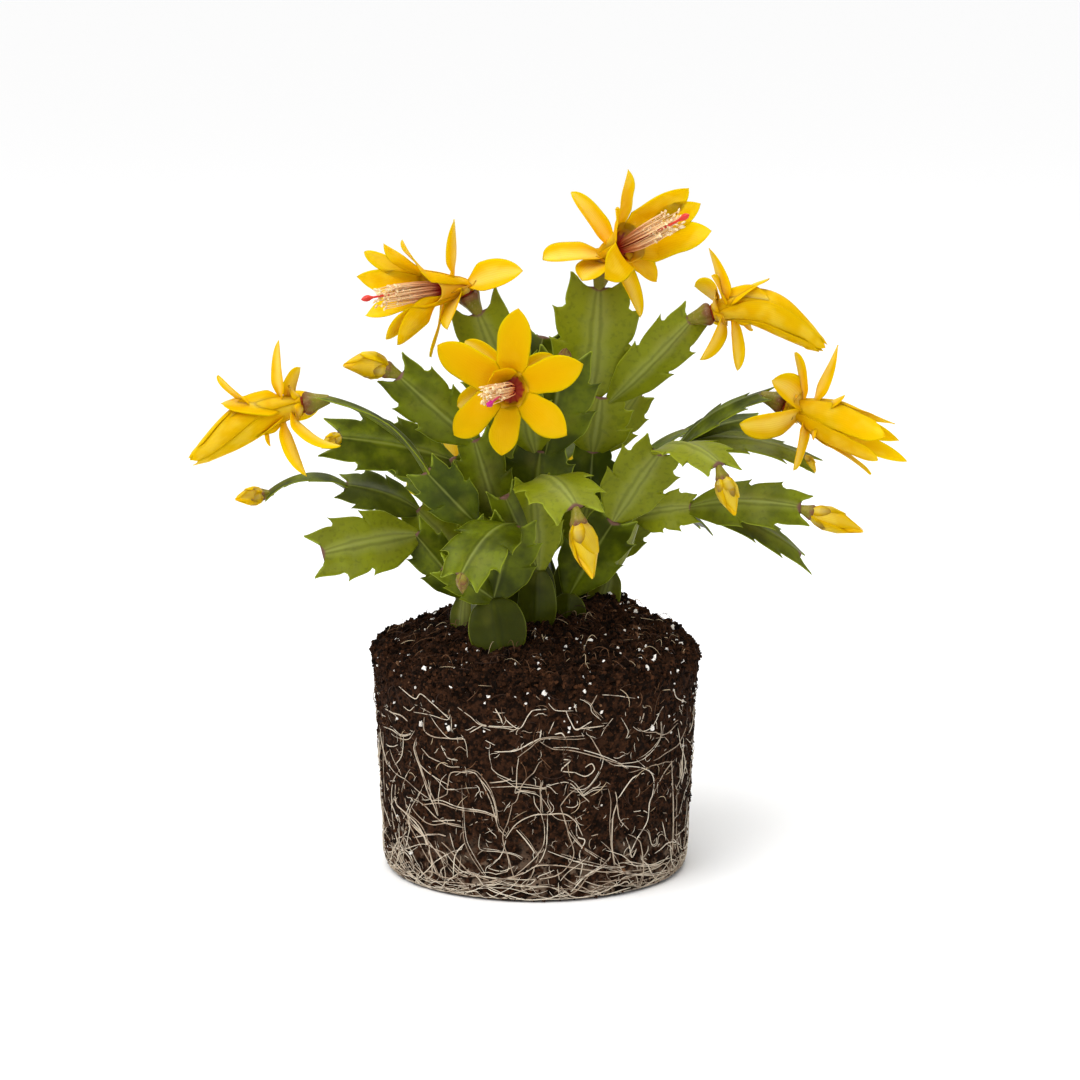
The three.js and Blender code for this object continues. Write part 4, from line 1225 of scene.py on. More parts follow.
class Habit(Enum):
    """How far a bloom is open."""

    CLOSED = Form(((8.3, 3.2), (14, 4.1), (22, 6.2), (30, 7), (38, 6.3), (47, 4.3)), (36, 3.4),
                  lobes(5, 9, 4.3, -12, -20), 55)
    LOOSE = Form(((8.3, 3.2), (14, 4), (22, 7), (30, 9.2), (37, 9.4)), (33, 5.5), lobes(6, 20, 11, 4, 12), 12)
    PARTING = Form(((8.3, 3.2), (14, 4), (22, 7), (28, 8.6), (32, 8.8)), (27, 5.2), (
        lobe(27, 18, 8, -3, 5), lobe(77, 22, 6.5, 0, 4), lobe(118, 28, 6.5, -3, -3), lobe(178, 18, 8, 6, 16),
        lobe(230, 18, 8.5, -6, 0), lobe(300, 17, 9, 0, 6),
    ), 14)
    FLARED = Form(((8.3, 3.2), (14, 3.8), (20, 5.6), (27, 7.2)), (20, 3.9), (
        lobe(25, 20, 10, 38, 58), lobe(172, 20, 10, 17, 37, 45), lobe(242, 22, 9, 35, 51, 20),
        lobe(279, 24, 9, 38, 50), lobe(346, 18, 11, 26, 46),
    ))
    OPEN = Form(((8.3, 3.2), (14, 3.8), (22, 6.4), (28, 11.5)), (20, 3.6), (
        lobe(44, 22, 11, 11, 23), lobe(68, 22, 10, 12, 24), lobe(100, 22, 11, 17, 29),
        lobe(244, 17, 12, 72, 92), lobe(303, 12, 8, 34, 54), lobe(338, 20, 9, 39, 53),
    ))
    STAR = Form(((8.3, 3.2), (14, 4.2), (18, 6.5), (20.5, 11)), (16, 3.6), (
        lobe(8, 20, 12, 69, 81), lobe(70, 20, 12.5, 68, 80), lobe(124, 18, 12, 62, 74),
        lobe(183, 14, 10.5, 59, 71), lobe(230, 16, 11, 88, 100), lobe(302, 20, 12, 68, 80),
    ))


PETAL_ACROSS = np.array([-1, -0.9, -0.66, -0.34, 0, 0.34, 0.66, 0.9, 1])


class Layer(Enum):
    """The marks that tell a petal's finish where it grows. The finish paints a pale sheen on outer tepals and
    scales, a fainter one on buds, and shade on the front bloom's petals.
    """

    # Darkened with painted shade; only the front bloom has it.
    SHADED_FRONT = 0.1
    COROLLA = 0.4
    BUD = 0.6
    # Loose outer tepals, which get a painted pale sheen.
    OUTER = 0.9
    SCALE = 1.0


def fruit(axis: Axis, scale: float = 1.0) -> Skin:
    """Makes the ribbed ovary between a joint and a bloom or bud.

    Args:
        axis: The axis that it grows along.
        scale: Its size as a share.

    Returns:
        The ovary's skin.
    """
    turns = np.arange(0, 360, 9)
    t = np.linspace(0.0, 1.0, 18)[:, None]
    heights = (-1.4 + 9.6 * t) * scale
    radii = np.interp(t, [0, 0.2, 0.5, 0.8, 0.92, 1], [1.7, 2.3, 3.1, 4.3, 4.2, 3.4]) * scale
    crest = np.abs(np.cos(np.radians(2.5 * turns)))
    rings = axis.place(turns, heights, radii * (0.94 - 0.07 * t + (0.05 + 0.16 * t) * crest))
    skin = Skin()
    skin.add(*tube(rings, marks_of(crest * ease(t, 0.35, 0.8), t, 0.5, 0.0)))
    return skin


@dataclass
class Bloom:
    """A flower on the end of a joint, with its ovary, its petals in layers and its brush."""

    name: str
    stem: str
    tip: int
    habit: Habit
    stalk: Point
    mouth: Point
    tepals: tuple[Tepal, ...]
    bend: Pair = (9, 30)
    inner: tuple[Tepal, ...] = ()
    layer: Layer = Layer.COROLLA
    petal_mm: float = 0.28
    widest: float = 0.42
    widest_span: float = 46.0

    def shell(self, skin: Skin, grid: Array, along: Array, shade: float, layer: Layer) -> None:
        """Adds a petal from its middle surface.

        Args:
            skin: The skin that gets it.
            grid: Its points, one row across at a time.
            along: How far along each row is.
            shade: The petal's own number.
            layer: Where it grows.
        """
        near = np.abs(PETAL_ACROSS)
        half = self.petal_mm * (1 - 0.55 * near**2) * np.sqrt(1 - near**8)
        half = half[None, :] * (1 - 0.5 * along[:, None] ** 3)
        skin.add(*blade(grid, half, marks_of(near[None, :], along[:, None], shade, layer.value)))

    def blade_rows(self, start: Array, out: Array, away: Array, one: Tepal, t: Array,
                   ) -> tuple[Array, Array, Array]:
        """Bends the middle line of a petal's free part.

        Args:
            start: Where it starts.
            out: The way along the bloom's axis there.
            away: The way from the axis to the petal there.
            one: The petal.
            t: Shares of its length.

        Returns:
            The points, the ways across, and the ways that its outer side faces.
        """
        lean = np.radians(one.lean + (one.tip_lean - one.lean) * np.minimum(1, t + 0.12))[:, None]
        heading = out * np.cos(lean) + away * np.sin(lean)
        face = away * np.cos(lean) - out * np.sin(lean)
        steps = heading * np.gradient(t)[:, None] * one.length
        points = start + np.cumsum(steps, 0) - steps[0]
        across = np.cross(face, heading)
        twist = np.radians(one.twist * ease(t, 0.0, 0.4))[:, None]
        turned = across * np.cos(twist) + face * np.sin(twist)
        return points, turned, face * np.cos(twist) - across * np.sin(twist)

    def outline(self, t: Array, foot: float, width: float, blunt: float) -> Array:
        """Gives half the width of a petal.

        Args:
            t: Shares of its length.
            foot: Half its width where it starts.
            width: Its greatest width.
            blunt: 0 for a lance's point and 1 for a round end.

        Returns:
            The half widths, one a row.
        """
        swell = foot + (width / 2 - foot) * ease(t, 0.0, self.widest - 0.1 * blunt)
        from_middle = np.clip((t - self.widest) / (1 - self.widest), 0.0, 1.0)
        taper = (1 - from_middle ** (2.1 + 1.2 * blunt)) ** (0.85 - 0.25 * blunt)
        return np.maximum(swell * taper, 0.06)[:, None]

    def loose_petal(self, skin: Skin, axis: Axis, one: Tepal, random: Stream, layer: Layer = Layer.OUTER,
                    reach: float = 0.5) -> None:
        """Adds a petal that isn't part of the corolla's wall.

        Args:
            skin: The skin that gets it.
            axis: The bloom's axis.
            one: The petal.
            random: The bloom's stream of numbers.
            layer: Where it grows.
            reach: How far from the axis it starts.
        """
        t = np.linspace(0.0, 1.0, 27)
        point, out, away = axis.facing(one.turn, one.start)
        points, across, face = self.blade_rows(point + away * reach, out, away, one, t)
        half = self.outline(t, one.width * 0.2, one.width * 1.16, 0.3 + 0.7 * random())
        ripple = 0.5 * np.sin(5.5 * t + ANY_PHASE * random())[:, None] * PETAL_ACROSS**3
        keel = (0.14 + 0.1 * random()) * half * (PETAL_ACROSS**2 + 0.5 * np.abs(PETAL_ACROSS))
        wilt = 1.2 * (random() - 0.5) * ease(t, 0.3, 1.0)[:, None]
        grid = points[:, None] + across[:, None] * (half * PETAL_ACROSS + wilt)[..., None]
        grid = grid + face[:, None] * (ripple - keel)[..., None]
        self.shell(skin, grid, t, random(), layer)

    def corolla_petal(self, skin: Skin, axis: Axis, one: Tepal, sides: Pair, random: Stream) -> None:
        """Adds a petal that lines the tube and then parts from it as a lobe.

        Args:
            skin: The skin that gets it.
            axis: The bloom's axis.
            one: The lobe.
            sides: How many degrees it spans before and after its middle.
            random: The bloom's stream of numbers.
        """
        form = self.habit.value
        rings = flowing(np.array(form.rings), 5)
        heights, radii = rings[1:, :1], rings[1:, 1:]
        rim, wide = heights[-1, 0], radii[-1, 0]
        t = np.linspace(0.0, 1.0, 22)
        point, out, away = axis.facing(one.turn, rim)
        points, across, face = self.blade_rows(point + away * wide, out, away, one, t)
        foot = min(wide * math.sin(math.radians(sum(sides) / 2)), 0.48 * one.width)
        half = self.outline(t, foot, one.width * 1.06, 0.3 * random())
        ripple = 0.45 * np.sin(5 * t + ANY_PHASE * random())[:, None] * PETAL_ACROSS**3
        keel = (0.13 * PETAL_ACROSS**2 + 0.05 * np.abs(PETAL_ACROSS)) * half
        free = points[:, None] + across[:, None] * (half * PETAL_ACROSS)[..., None]
        free = free + face[:, None] * (ripple * ease(t, 0.1, 0.6)[:, None] - keel)[..., None]
        # Below the rim the petal is wrapped round the tube, wound by the corolla's spiral.
        share = (heights - heights[0]) / (rim - heights[0])
        span = np.where(PETAL_ACROSS < 0, *sides) * PETAL_ACROSS
        turns = one.turn + form.spiral * (share - 1) + span * (1 - 0.16 * ease(share, 0.5, 1.0))
        wrapped = axis.place(turns, heights, radii + 0.1 + 0.26 * PETAL_ACROSS)
        # The free part starts on the wrapped part's last row and eases into its own line.
        gap = wrapped[-1] - free[0]
        free = free + gap[None] * (1 - ease(t, 0.0, 0.45))[:, None, None]
        along = np.concatenate([heights[:, 0] - heights[0], rim - heights[0] + t[1:] * one.length])
        self.shell(skin, np.concatenate([wrapped, free[1:]]), along / along[-1], random(), self.layer)

    def spans(self) -> list[Pair]:
        """Shares the tube's wall out among the lobes.

        Returns:
            How many degrees each lobe spans before and after its middle.
        """
        turns = [one.turn for one in self.habit.value.lobes]
        found = []
        for k, turn in enumerate(turns):
            gaps = (turn - turns[k - 1]) % 360, (turns[(k + 1) % len(turns)] - turn) % 360
            found.append(tuple(min(gap * 0.6, self.widest_span) for gap in gaps))
        return found

    def cup(self, skin: Skin, axis: Axis) -> None:
        """Adds the inner wall of the tube, closed at its floor and lower where no lobe stands.

        Args:
            skin: The skin that gets it.
            axis: The bloom's axis.
        """
        form = self.habit.value
        floor, floor_radius = form.floor
        heights, radii = (np.array(v) for v in zip(*form.rings))
        turns = np.arange(0, 360, 10)
        gaps = np.stack([np.abs((turns - one.turn + 180) % 360 - 180) for one in form.lobes]).min(0)
        top = heights[-1] - (heights[-1] - floor) * (0.4 + 0.25 * ease(gaps, 22, 62))
        # The rings go up the outside of the wall and down its inside to the floor.
        rise, fall = np.linspace(0, 1, 8)[:, None], np.linspace(1, 0, 8)[:, None]
        outside = heights[0] + (top - heights[0]) * rise
        inside = floor + (top - floor) * fall
        walls = (
            np.interp(outside, heights, radii) - 0.1,
            np.minimum(np.interp(inside, heights, radii) - 0.5, floor_radius + 9 * fall),
        )
        rings = axis.place(turns, np.concatenate([outside, inside]), np.concatenate(walls))
        stripes = np.abs((turns / 15) % 2 - 1)
        skin.add(*tube(rings, marks_of(stripes[None, :], np.concatenate([rise, fall]), 0.3, 0.0)), 1)

    def scales(self, skin: Skin, axis: Axis, random: Stream) -> None:
        """Adds the short brown-tipped scales where the ovary ends.

        Args:
            skin: The skin that gets them.
            axis: The bloom's axis.
            random: The bloom's stream of numbers.
        """
        for k in range(5):
            lean = 22 + 30 * random()
            turn, start, length = 72 * k + 40 * random(), 7.8 + 1.6 * random(), 4.5 + 3.5 * random()
            one = Tepal(turn, start, length, 5.2, lean, lean + 25)
            self.loose_petal(skin, axis, one, random, Layer.SCALE, 2.6)

    def build(self, number: int, stems: dict[str, Stem], finishes: Finishes) -> Axis:
        """Makes the ovary and the petals.

        Args:
            number: The bloom's number.
            stems: The stems by name.
            finishes: The materials.

        Returns:
            The bloom's axis.
        """
        axis = Axis(stems[self.stem].tip(self.tip), self.stalk, self.mouth, self.bend)
        random = Stream(Seed.BLOOMS, number)
        skin = Skin()
        self.cup(skin, axis)
        for one, sides in zip(self.habit.value.lobes, self.spans()):
            self.corolla_petal(skin, axis, one, sides, random)
        for one in self.inner:
            self.loose_petal(skin, axis, one, random, self.layer, 3.4)
        for one in self.tepals:
            self.loose_petal(skin, axis, one, random)
        self.scales(skin, axis, random)
        petals = skin.piece(f"petals_{self.name}", [finishes[Look.PETAL], finishes[Look.THROAT]])
        dress(petals, [f"bloom_{self.name}"])
        ovary = fruit(axis).piece(f"fruit_{self.name}", [finishes[Look.OVARY]])
        dress(ovary, [f"ovary_{self.name}"])
        return axis


BLOOMS = (
    Bloom("left", "left_arching", 3, Habit.CLOSED, (-1, -0.05, -0.2), (-1, -0.15, -0.72), (
        Tepal(9, 16, 26, 7, 92, 104, 30), Tepal(325, 14, 16, 8, 104, 124, -20),
        Tepal(10, 24, 22, 7, 59, 67, 30), Tepal(168, 16, 26, 7, 81, 106, 30),
        Tepal(140, 13, 26, 11, 90, 150, 35), Tepal(169, 22, 12, 6, 70, 80), Tepal(260, 12, 22, 10, 80, 140),
        Tepal(15, 13, 26, 14, 40, 0), Tepal(80, 13, 24, 14, 40, -4), Tepal(190, 12, 22, 13, 42, 12),
    ), (14, 38)),
    Bloom("upper_left", "left_upright", 3, Habit.FLARED, (-0.45, -0.15, 0.8), (-1, -0.5, -0.03), (
        Tepal(2, 15, 25, 8, 97, 89, -45), Tepal(40, 11, 24, 11, 106, 126, 20),
        Tepal(177, 18.5, 26, 6, 86, 66, 30), Tepal(153, 11, 19, 9, 79, 94), Tepal(250, 10, 22, 10, 90, 140),
    ), (8.5, 14), inner=(Tepal(307, 20, 30, 8, 32, 44), Tepal(155, 19, 29, 9, 26, 41, 55))),
    Bloom("top", "right_upright", 4, Habit.OPEN, (0.2, -0.1, 1), (0.74, -0.62, 0.36), (
        Tepal(331, 17, 27, 10, 85, 100), Tepal(293, 12, 26, 12, 94, 109), Tepal(184, 15, 28, 9, 75, 90),
        Tepal(255, 10, 20, 10, 91, 111), Tepal(120, 17, 22, 10, 75, 95),
    ), (9, 17), inner=(Tepal(146, 20, 16, 8, 62, 84),)),
    # The front bloom's layer mark darkens its petals with painted shade.
    Bloom("front", "centre", 4, Habit.STAR, (-0.25, -0.92, 0.2), (-0.12, -1, -0.02), (
        Tepal(52, 13, 20, 10, 78, 90), Tepal(315, 13, 25, 10, 76, 90), Tepal(253, 14, 21, 10, 78, 90),
    ), inner=(Tepal(325, 15.5, 13, 11, 38, 4),), layer=Layer.SHADED_FRONT),
    Bloom("upper_right", "right_upright", 5, Habit.CLOSED, (1, -0.1, 0.3), (1, -0.15, -0.68), (
        Tepal(351, 14, 24, 8, 82, 94, 30), Tepal(332, 13.5, 16, 7, 80, 100), Tepal(216, 13, 22, 10, 107, 137),
        Tepal(173, 15, 24, 7, 91, 101, 30), Tepal(141, 15, 14, 10, 59, 69), Tepal(60, 12, 22, 10, 85, 130),
        Tepal(100, 12, 22, 9, 85, 130), Tepal(0, 12, 22, 12, 42, 2), Tepal(270, 12, 20, 13, 42, 0),
    ), (12, 38)),
    Bloom("right", "right_high", 3, Habit.PARTING, (1, -0.15, -0.33), (1, -0.2, -0.42), (
        Tepal(326, 16, 18, 13, 114, 170), Tepal(359, 18, 28, 7, 81, 91, 30),
        Tepal(4, 16, 22, 7, 112, 122, 30), Tepal(240, 16, 29, 13, 110, 150),
        Tepal(210, 17, 24, 7, 74, 84, 30), Tepal(100, 14, 21, 10, 80, 130),
        Tepal(345, 18, 16, 9, 42, 50), Tepal(225, 18, 12, 6, 53, 63),
    )),
    Bloom("back_centre", "back_centre", 2, Habit.LOOSE, (0, 1, 0.1), (0.05, 1, -0.35), (
        Tepal(0, 10, 24, 10, 90, 120), Tepal(80, 12, 23, 10, 85, 120), Tepal(150, 10, 23, 9, 90, 125),
        Tepal(215, 12, 22, 10, 85, 120), Tepal(290, 10, 23, 9, 90, 130),
    )),
    Bloom("back_left", "back_left", 2, Habit.CLOSED, (-0.1, 1, 0.1), (-0.2, 1, -0.3), (
        Tepal(10, 10, 23, 9, 90, 120), Tepal(95, 10, 22, 10, 85, 130), Tepal(170, 12, 20, 8, 80, 110),
        Tepal(235, 10, 22, 9, 90, 140), Tepal(300, 14, 22, 9, 60, 80),
    )),
)


def brush_tree() -> Tree:
    """Grows a brush of stamens along the Z axis, each with its anther, and lets it droop.

    Returns:
        The tree.
    """
    tree, get = new_tree("stamen_brush", {
        "Count": "Int", "Length": "Float", "Ring": "Float", "Spread": "Float", "Thickness": "Float",
        "Anther": "Float", "Droop": "Vector", "Seed": "Int", "Filament": "Material", "Pollen": "Material",
    })
    length = get["Length"]
    chances = []
    for low, high in ((0.0, FULL_TURN), (0.25, 1.0), (-0.15, 1.0), (0.5, 1.0)):
        seed = put(tree, "ShaderNodeMath", {0: get["Seed"], 1: float(len(chances))}, operation="ADD")
        node = put(tree, "FunctionNodeRandomValue", {2: low, 3: high, "Seed": seed}, data_type="FLOAT")
        chances.append(node.outputs[1])
    angle, far, tilt, size = chances
    reach = put(tree, "ShaderNodeMath", {0: get["Ring"], 1: far}, operation="MULTIPLY")
    spoke = put(tree, "ShaderNodeCombineXYZ", {0: reach})
    spot = put(tree, "ShaderNodeVectorRotate", {0: spoke, "Angle": angle}, rotation_type="Z_AXIS")
    points = put(tree, "GeometryNodePoints", {"Count": get["Count"], "Position": spot})
    half = put(tree, "ShaderNodeMath", {0: length, 1: 0.5}, operation="MULTIPLY")
    aside = put(tree, "ShaderNodeMath", {0: length, 1: 0.07}, operation="MULTIPLY")
    top = put(tree, "ShaderNodeCombineXYZ", {2: length})
    waist = put(tree, "ShaderNodeCombineXYZ", {0: aside, 2: half})
    bow = put(tree, "GeometryNodeCurveQuadraticBezier", {
        "Resolution": 6, "Start": (0, 0, 0), "Middle": waist, "End": top,
    })
    ring = put(tree, "GeometryNodeCurvePrimitiveCircle", {"Resolution": 4, "Radius": get["Thickness"]})
    stalk = put(tree, "GeometryNodeCurveToMesh", {"Curve": bow, "Profile Curve": ring, "Fill Caps": True})
    place = put(tree, "ShaderNodeSeparateXYZ", {0: put(tree, "GeometryNodeInputPosition")})
    along = put(tree, "ShaderNodeMath", {0: place.outputs[2], 1: length}, operation="DIVIDE")
    mark = put(tree, "FunctionNodeCombineColor", {0: 0.0, 1: along, 2: 0.5})
    told = put(tree, "GeometryNodeStoreNamedAttribute", {"Geometry": stalk, "Name": "mark", "Value": mark},
               data_type="FLOAT_COLOR", domain="POINT")
    filament = put(tree, "GeometryNodeSetMaterial", {"Geometry": told, "Material": get["Filament"]})
    bead = put(tree, "GeometryNodeMeshIcoSphere", {"Radius": get["Anther"], "Subdivisions": 1})
    hung = put(tree, "GeometryNodeTransform", {
        "Geometry": bead, "Translation": top, "Scale": (0.75, 0.6, 1.7), "Rotation": (0.5, 0.6, 0.0),
    })
    anther = put(tree, "GeometryNodeSetMaterial", {"Geometry": hung, "Material": get["Pollen"]})
    stamen = put(tree, "GeometryNodeJoinGeometry")
    for part in (filament, anther):
        tree.links.new(part.outputs[0], stamen.inputs[0])
    lean = put(tree, "ShaderNodeMath", {0: get["Spread"], 1: tilt}, operation="MULTIPLY")
    laid = put(tree, "GeometryNodeInstanceOnPoints", {
        "Points": points, "Instance": stamen,
        "Rotation": put(tree, "ShaderNodeCombineXYZ", {1: lean, 2: angle}),
        "Scale": put(tree, "ShaderNodeCombineXYZ", {0: 1.0, 1: 1.0, 2: size}),
    })
    real = put(tree, "GeometryNodeRealizeInstances", {0: laid})
    squared = put(tree, "ShaderNodeMath", {0: along, 1: 2.0}, operation="POWER")
    sunk = put(tree, "ShaderNodeVectorMath", {0: get["Droop"], "Scale": squared}, operation="SCALE")
    bent = put(tree, "GeometryNodeSetPosition", {"Geometry": real, "Offset": sunk})
    soft = put(tree, "GeometryNodeSetShadeSmooth", {0: bent})
    put(tree, "NodeGroupOutput", {0: soft})
    return tree


@dataclass
class Brush:
    """The stamens and the style of an open bloom."""

    bloom: Bloom
    droop: Point
    style: Look
    count: int = 96
    length: float = 27.0
    ring: float = 2.1
    spread: float = 0.15
    thickness: float = 0.17
    anther: float = 0.7
    style_length: float = 33.0

    def stigma(self, axis: Axis, foot: float) -> Skin:
        """Makes the style with its lobed stigma.

        Args:
            axis: The bloom's axis.
            foot: The height where it starts.

        Returns:
            Its skin.
        """
        turns = np.arange(0, 360, 18)
        t = np.linspace(0.0, 1.0, 34)[:, None]
        radii = np.interp(t, [0, 0.1, 0.86, 0.89, 0.93, 0.98, 1], [0.5, 0.42, 0.42, 0.9, 1.15, 0.75, 0.15])
        groove = 1 + 0.2 * ease(t, 0.86, 0.91) * np.cos(np.radians(5 * turns))
        heights = foot + t * self.style_length
        _, _, up, side = axis.at(heights)
        sunk = (up * self.droop[0] + side * self.droop[1]) * t[..., None] ** 2
        skin = Skin()
        rings = axis.place(turns, heights, radii * groove) + sunk
        skin.add(*tube(rings, marks_of(np.zeros((1, len(turns))), t, 0.5, 0.0)))
        return skin

    def build(self, number: int, axis: Axis, tree: Tree,
              finishes: Finishes) -> None:
        """Makes both pieces on the floor of the corolla.

        Args:
            number: The brush's number.
            axis: The bloom's axis.
            tree: The tree that grows the stamens.
            finishes: The materials.
        """
        foot = self.bloom.habit.value.floor[0] + 0.2
        name = self.bloom.name
        piece = grown_by(tree, bpy.data.meshes.new("brush_base"), f"brush_{name}", {
            "Count": self.count, "Length": self.length * MM, "Ring": self.ring * MM, "Spread": self.spread,
            "Thickness": self.thickness * MM, "Anther": self.anther * MM,
            "Droop": tuple(v * MM for v in self.droop), "Seed": Seed.BRUSHES.value + number,
            "Filament": finishes[Look.FILAMENT], "Pollen": finishes[Look.ANTHER],
        })
        point, out, up, side = (Vector(v) for v in axis.at(foot))
        matrix = Matrix((up, side, out)).transposed().to_4x4()
        matrix.translation = point * MM
        piece.data.transform(matrix)
        if matrix.determinant() < 0:
            piece.data.flip_normals()
        dress(piece, [f"stamens_{name}"])
        stigma = self.stigma(axis, foot).piece(f"stigma_{name}", [finishes[self.style]])
        dress(stigma, [f"style_{name}"])


BRUSHES = (
    Brush(BLOOMS[1], (-1.5, 1.0, 0.0), Look.OLD_STYLE),
    Brush(BLOOMS[2], (2.5, 3.0, 0.0), Look.OLD_STYLE),
    Brush(BLOOMS[3], (-2.5, -4.5, 0.0), Look.STYLE, count=66, length=22.0, spread=0.12, anther=0.66,
          style_length=27.0),
)


@dataclass
class Bud:
    """A pointed bud of petals wrapped over each other, on its short base."""

    name: str
    stem: str
    tip: int
    mouth: Point
    length: float
    width: float
    small: bool = False
    look: Look = Look.PETAL
    stalk: Point | None = None
    bend: Pair = (9, 30)
    full_size: float = 13.0
    heights: tuple[float, ...] = (0, 0.12, 0.3, 0.55, 0.8, 0.93, 1)
    widths: tuple[float, ...] = (0.5, 0.82, 1.0, 0.86, 0.42, 0.17, 0.03)

    def radius(self, share: Array) -> Array:
        """Gives the bud's radius at shares of its height."""
        return self.width / 2 * np.interp(share, self.heights, self.widths)

    def wrap(self, skin: Skin, axis: Axis, rise: Array, radius: Array, spread: Array, turn: float,
             skew: float, shade: float, layer: Layer) -> None:
        """Wraps one petal round the bud.

        Args:
            skin: The skin that gets it.
            axis: The bud's axis.
            rise: The height of each row.
            radius: The radius of each row.
            spread: Half the degrees that each row spans.
            turn: The turn of its middle.
            skew: How many degrees it winds round on its way up.
            shade: Its own number.
            layer: Where it grows.
        """
        t = np.linspace(0.0, 1.0, len(rise))[:, None]
        turns = turn + spread[:, None] * PETAL_ACROSS + skew * t
        grid = axis.place(turns, rise[:, None], radius[:, None] + 0.12 * PETAL_ACROSS)
        near = np.abs(PETAL_ACROSS)
        half = 0.2 * np.sqrt(1 - near**6) * (1 - 0.4 * t)
        skin.add(*blade(grid, half, marks_of(near[None, :], 0.2 + 0.8 * t, shade, layer.value)))

    def body(self, skin: Skin, axis: Axis, base: float, top: float, random: Stream) -> None:
        """Makes the bud's core, its petals and the scales at its foot.

        Args:
            skin: The skin that gets them.
            axis: The bud's axis.
            base: The height where they start.
            top: The height of the point.
            random: The bud's stream of numbers.
        """
        t = np.linspace(0.0, 1.0, 24)
        turns = np.arange(0, 360, 15)
        core = axis.place(turns, (base + (top - base) * t)[:, None], (self.radius(t) * 0.94)[:, None])
        marks = marks_of(np.zeros((1, len(turns))), (0.3 + 0.6 * t)[:, None], 0.6, Layer.COROLLA.value)
        skin.add(*tube(core, marks))
        for k, reach in enumerate((0.98, 1.0, 0.93, 0.8, 0.74, 0.6)):
            own = self.radius(t * reach) * (0.98 + 0.015 * k) + 0.25 * t**4
            self.wrap(skin, axis, base + (top - base) * t * reach, own, 62 * (1 - t**2.6) ** 0.6 + 2,
                      137.5 * k + 30 * random(), 25, random(), Layer.BUD)
        for k in range(5):
            reach = 0.3 + 0.25 * random()
            own = self.radius(t * reach) * 1.01 + 0.06 + 0.12 * t**2
            self.wrap(skin, axis, base - 0.3 + (top - base) * t * reach, own, 42 * (1 - t**2) ** 0.7 + 1,
                      72 * k + 30 * random(), 6, random(), Layer.SCALE)

    def build(self, number: int, stems: dict[str, Stem], finishes: Finishes) -> None:
        """Makes the bud and, on a large one, its base.

        Args:
            number: The bud's number.
            stems: The stems by name.
            finishes: The materials.
        """
        axis = Axis(stems[self.stem].tip(self.tip), self.stalk or self.mouth, self.mouth, self.bend)
        random = Stream(Seed.BUDS, number)
        skin = Skin()
        if self.small:
            self.body(skin, axis, -1.2, self.length, random)
            tiny = skin.piece(f"tiny_bud_{self.name}", [finishes[self.look]])
            dress(tiny, [f"small_bud_{self.name}"])
            return
        scale = self.width / self.full_size
        base = 8 * scale - 0.6
        self.body(skin, axis, base, base + self.length + 0.6, random)
        wrapped = skin.piece(f"wrapped_bud_{self.name}", [finishes[self.look]])
        dress(wrapped, [f"bud_{self.name}"])
        foot = fruit(axis, scale).piece(f"bud_fruit_{self.name}", [finishes[Look.OVARY]])
        dress(foot, [f"bud_base_{self.name}"])


BUDS = (
    Bud("left_high", "left_middle", 3, (-1, -0.1, -0.05), 15.5, 10, stalk=(-1, -0.1, 0.45), bend=(4, 18)),
    Bud("left_low", "left_trailing", 3, (-1, -0.1, -0.15), 10, 7),
    Bud("front", "front_centre", 2, (0.25, -0.2, -1), 20, 10),
    Bud("right_front", "right_centre", 3, (0.35, -0.1, -1), 14, 8),
    Bud("right_low", "right_low", 3, (1, -0.1, -0.35), 20, 9),
    Bud("left_back", "left_back", 2, (-1, -0.3, -0.5), 7, 6, small=True),
    Bud("right_back", "right_high", 5, (0.5, -0.2, -0.6), 6, 5, small=True),
    Bud("front_left", "front_left", 2, (0, -0.3, -1), 6, 4.5, small=True, look=Look.OVARY),
    Bud("centre", "centre", 3, (0.1, -0.6, 1), 5, 5, small=True, look=Look.OVARY),
)


# Root ball

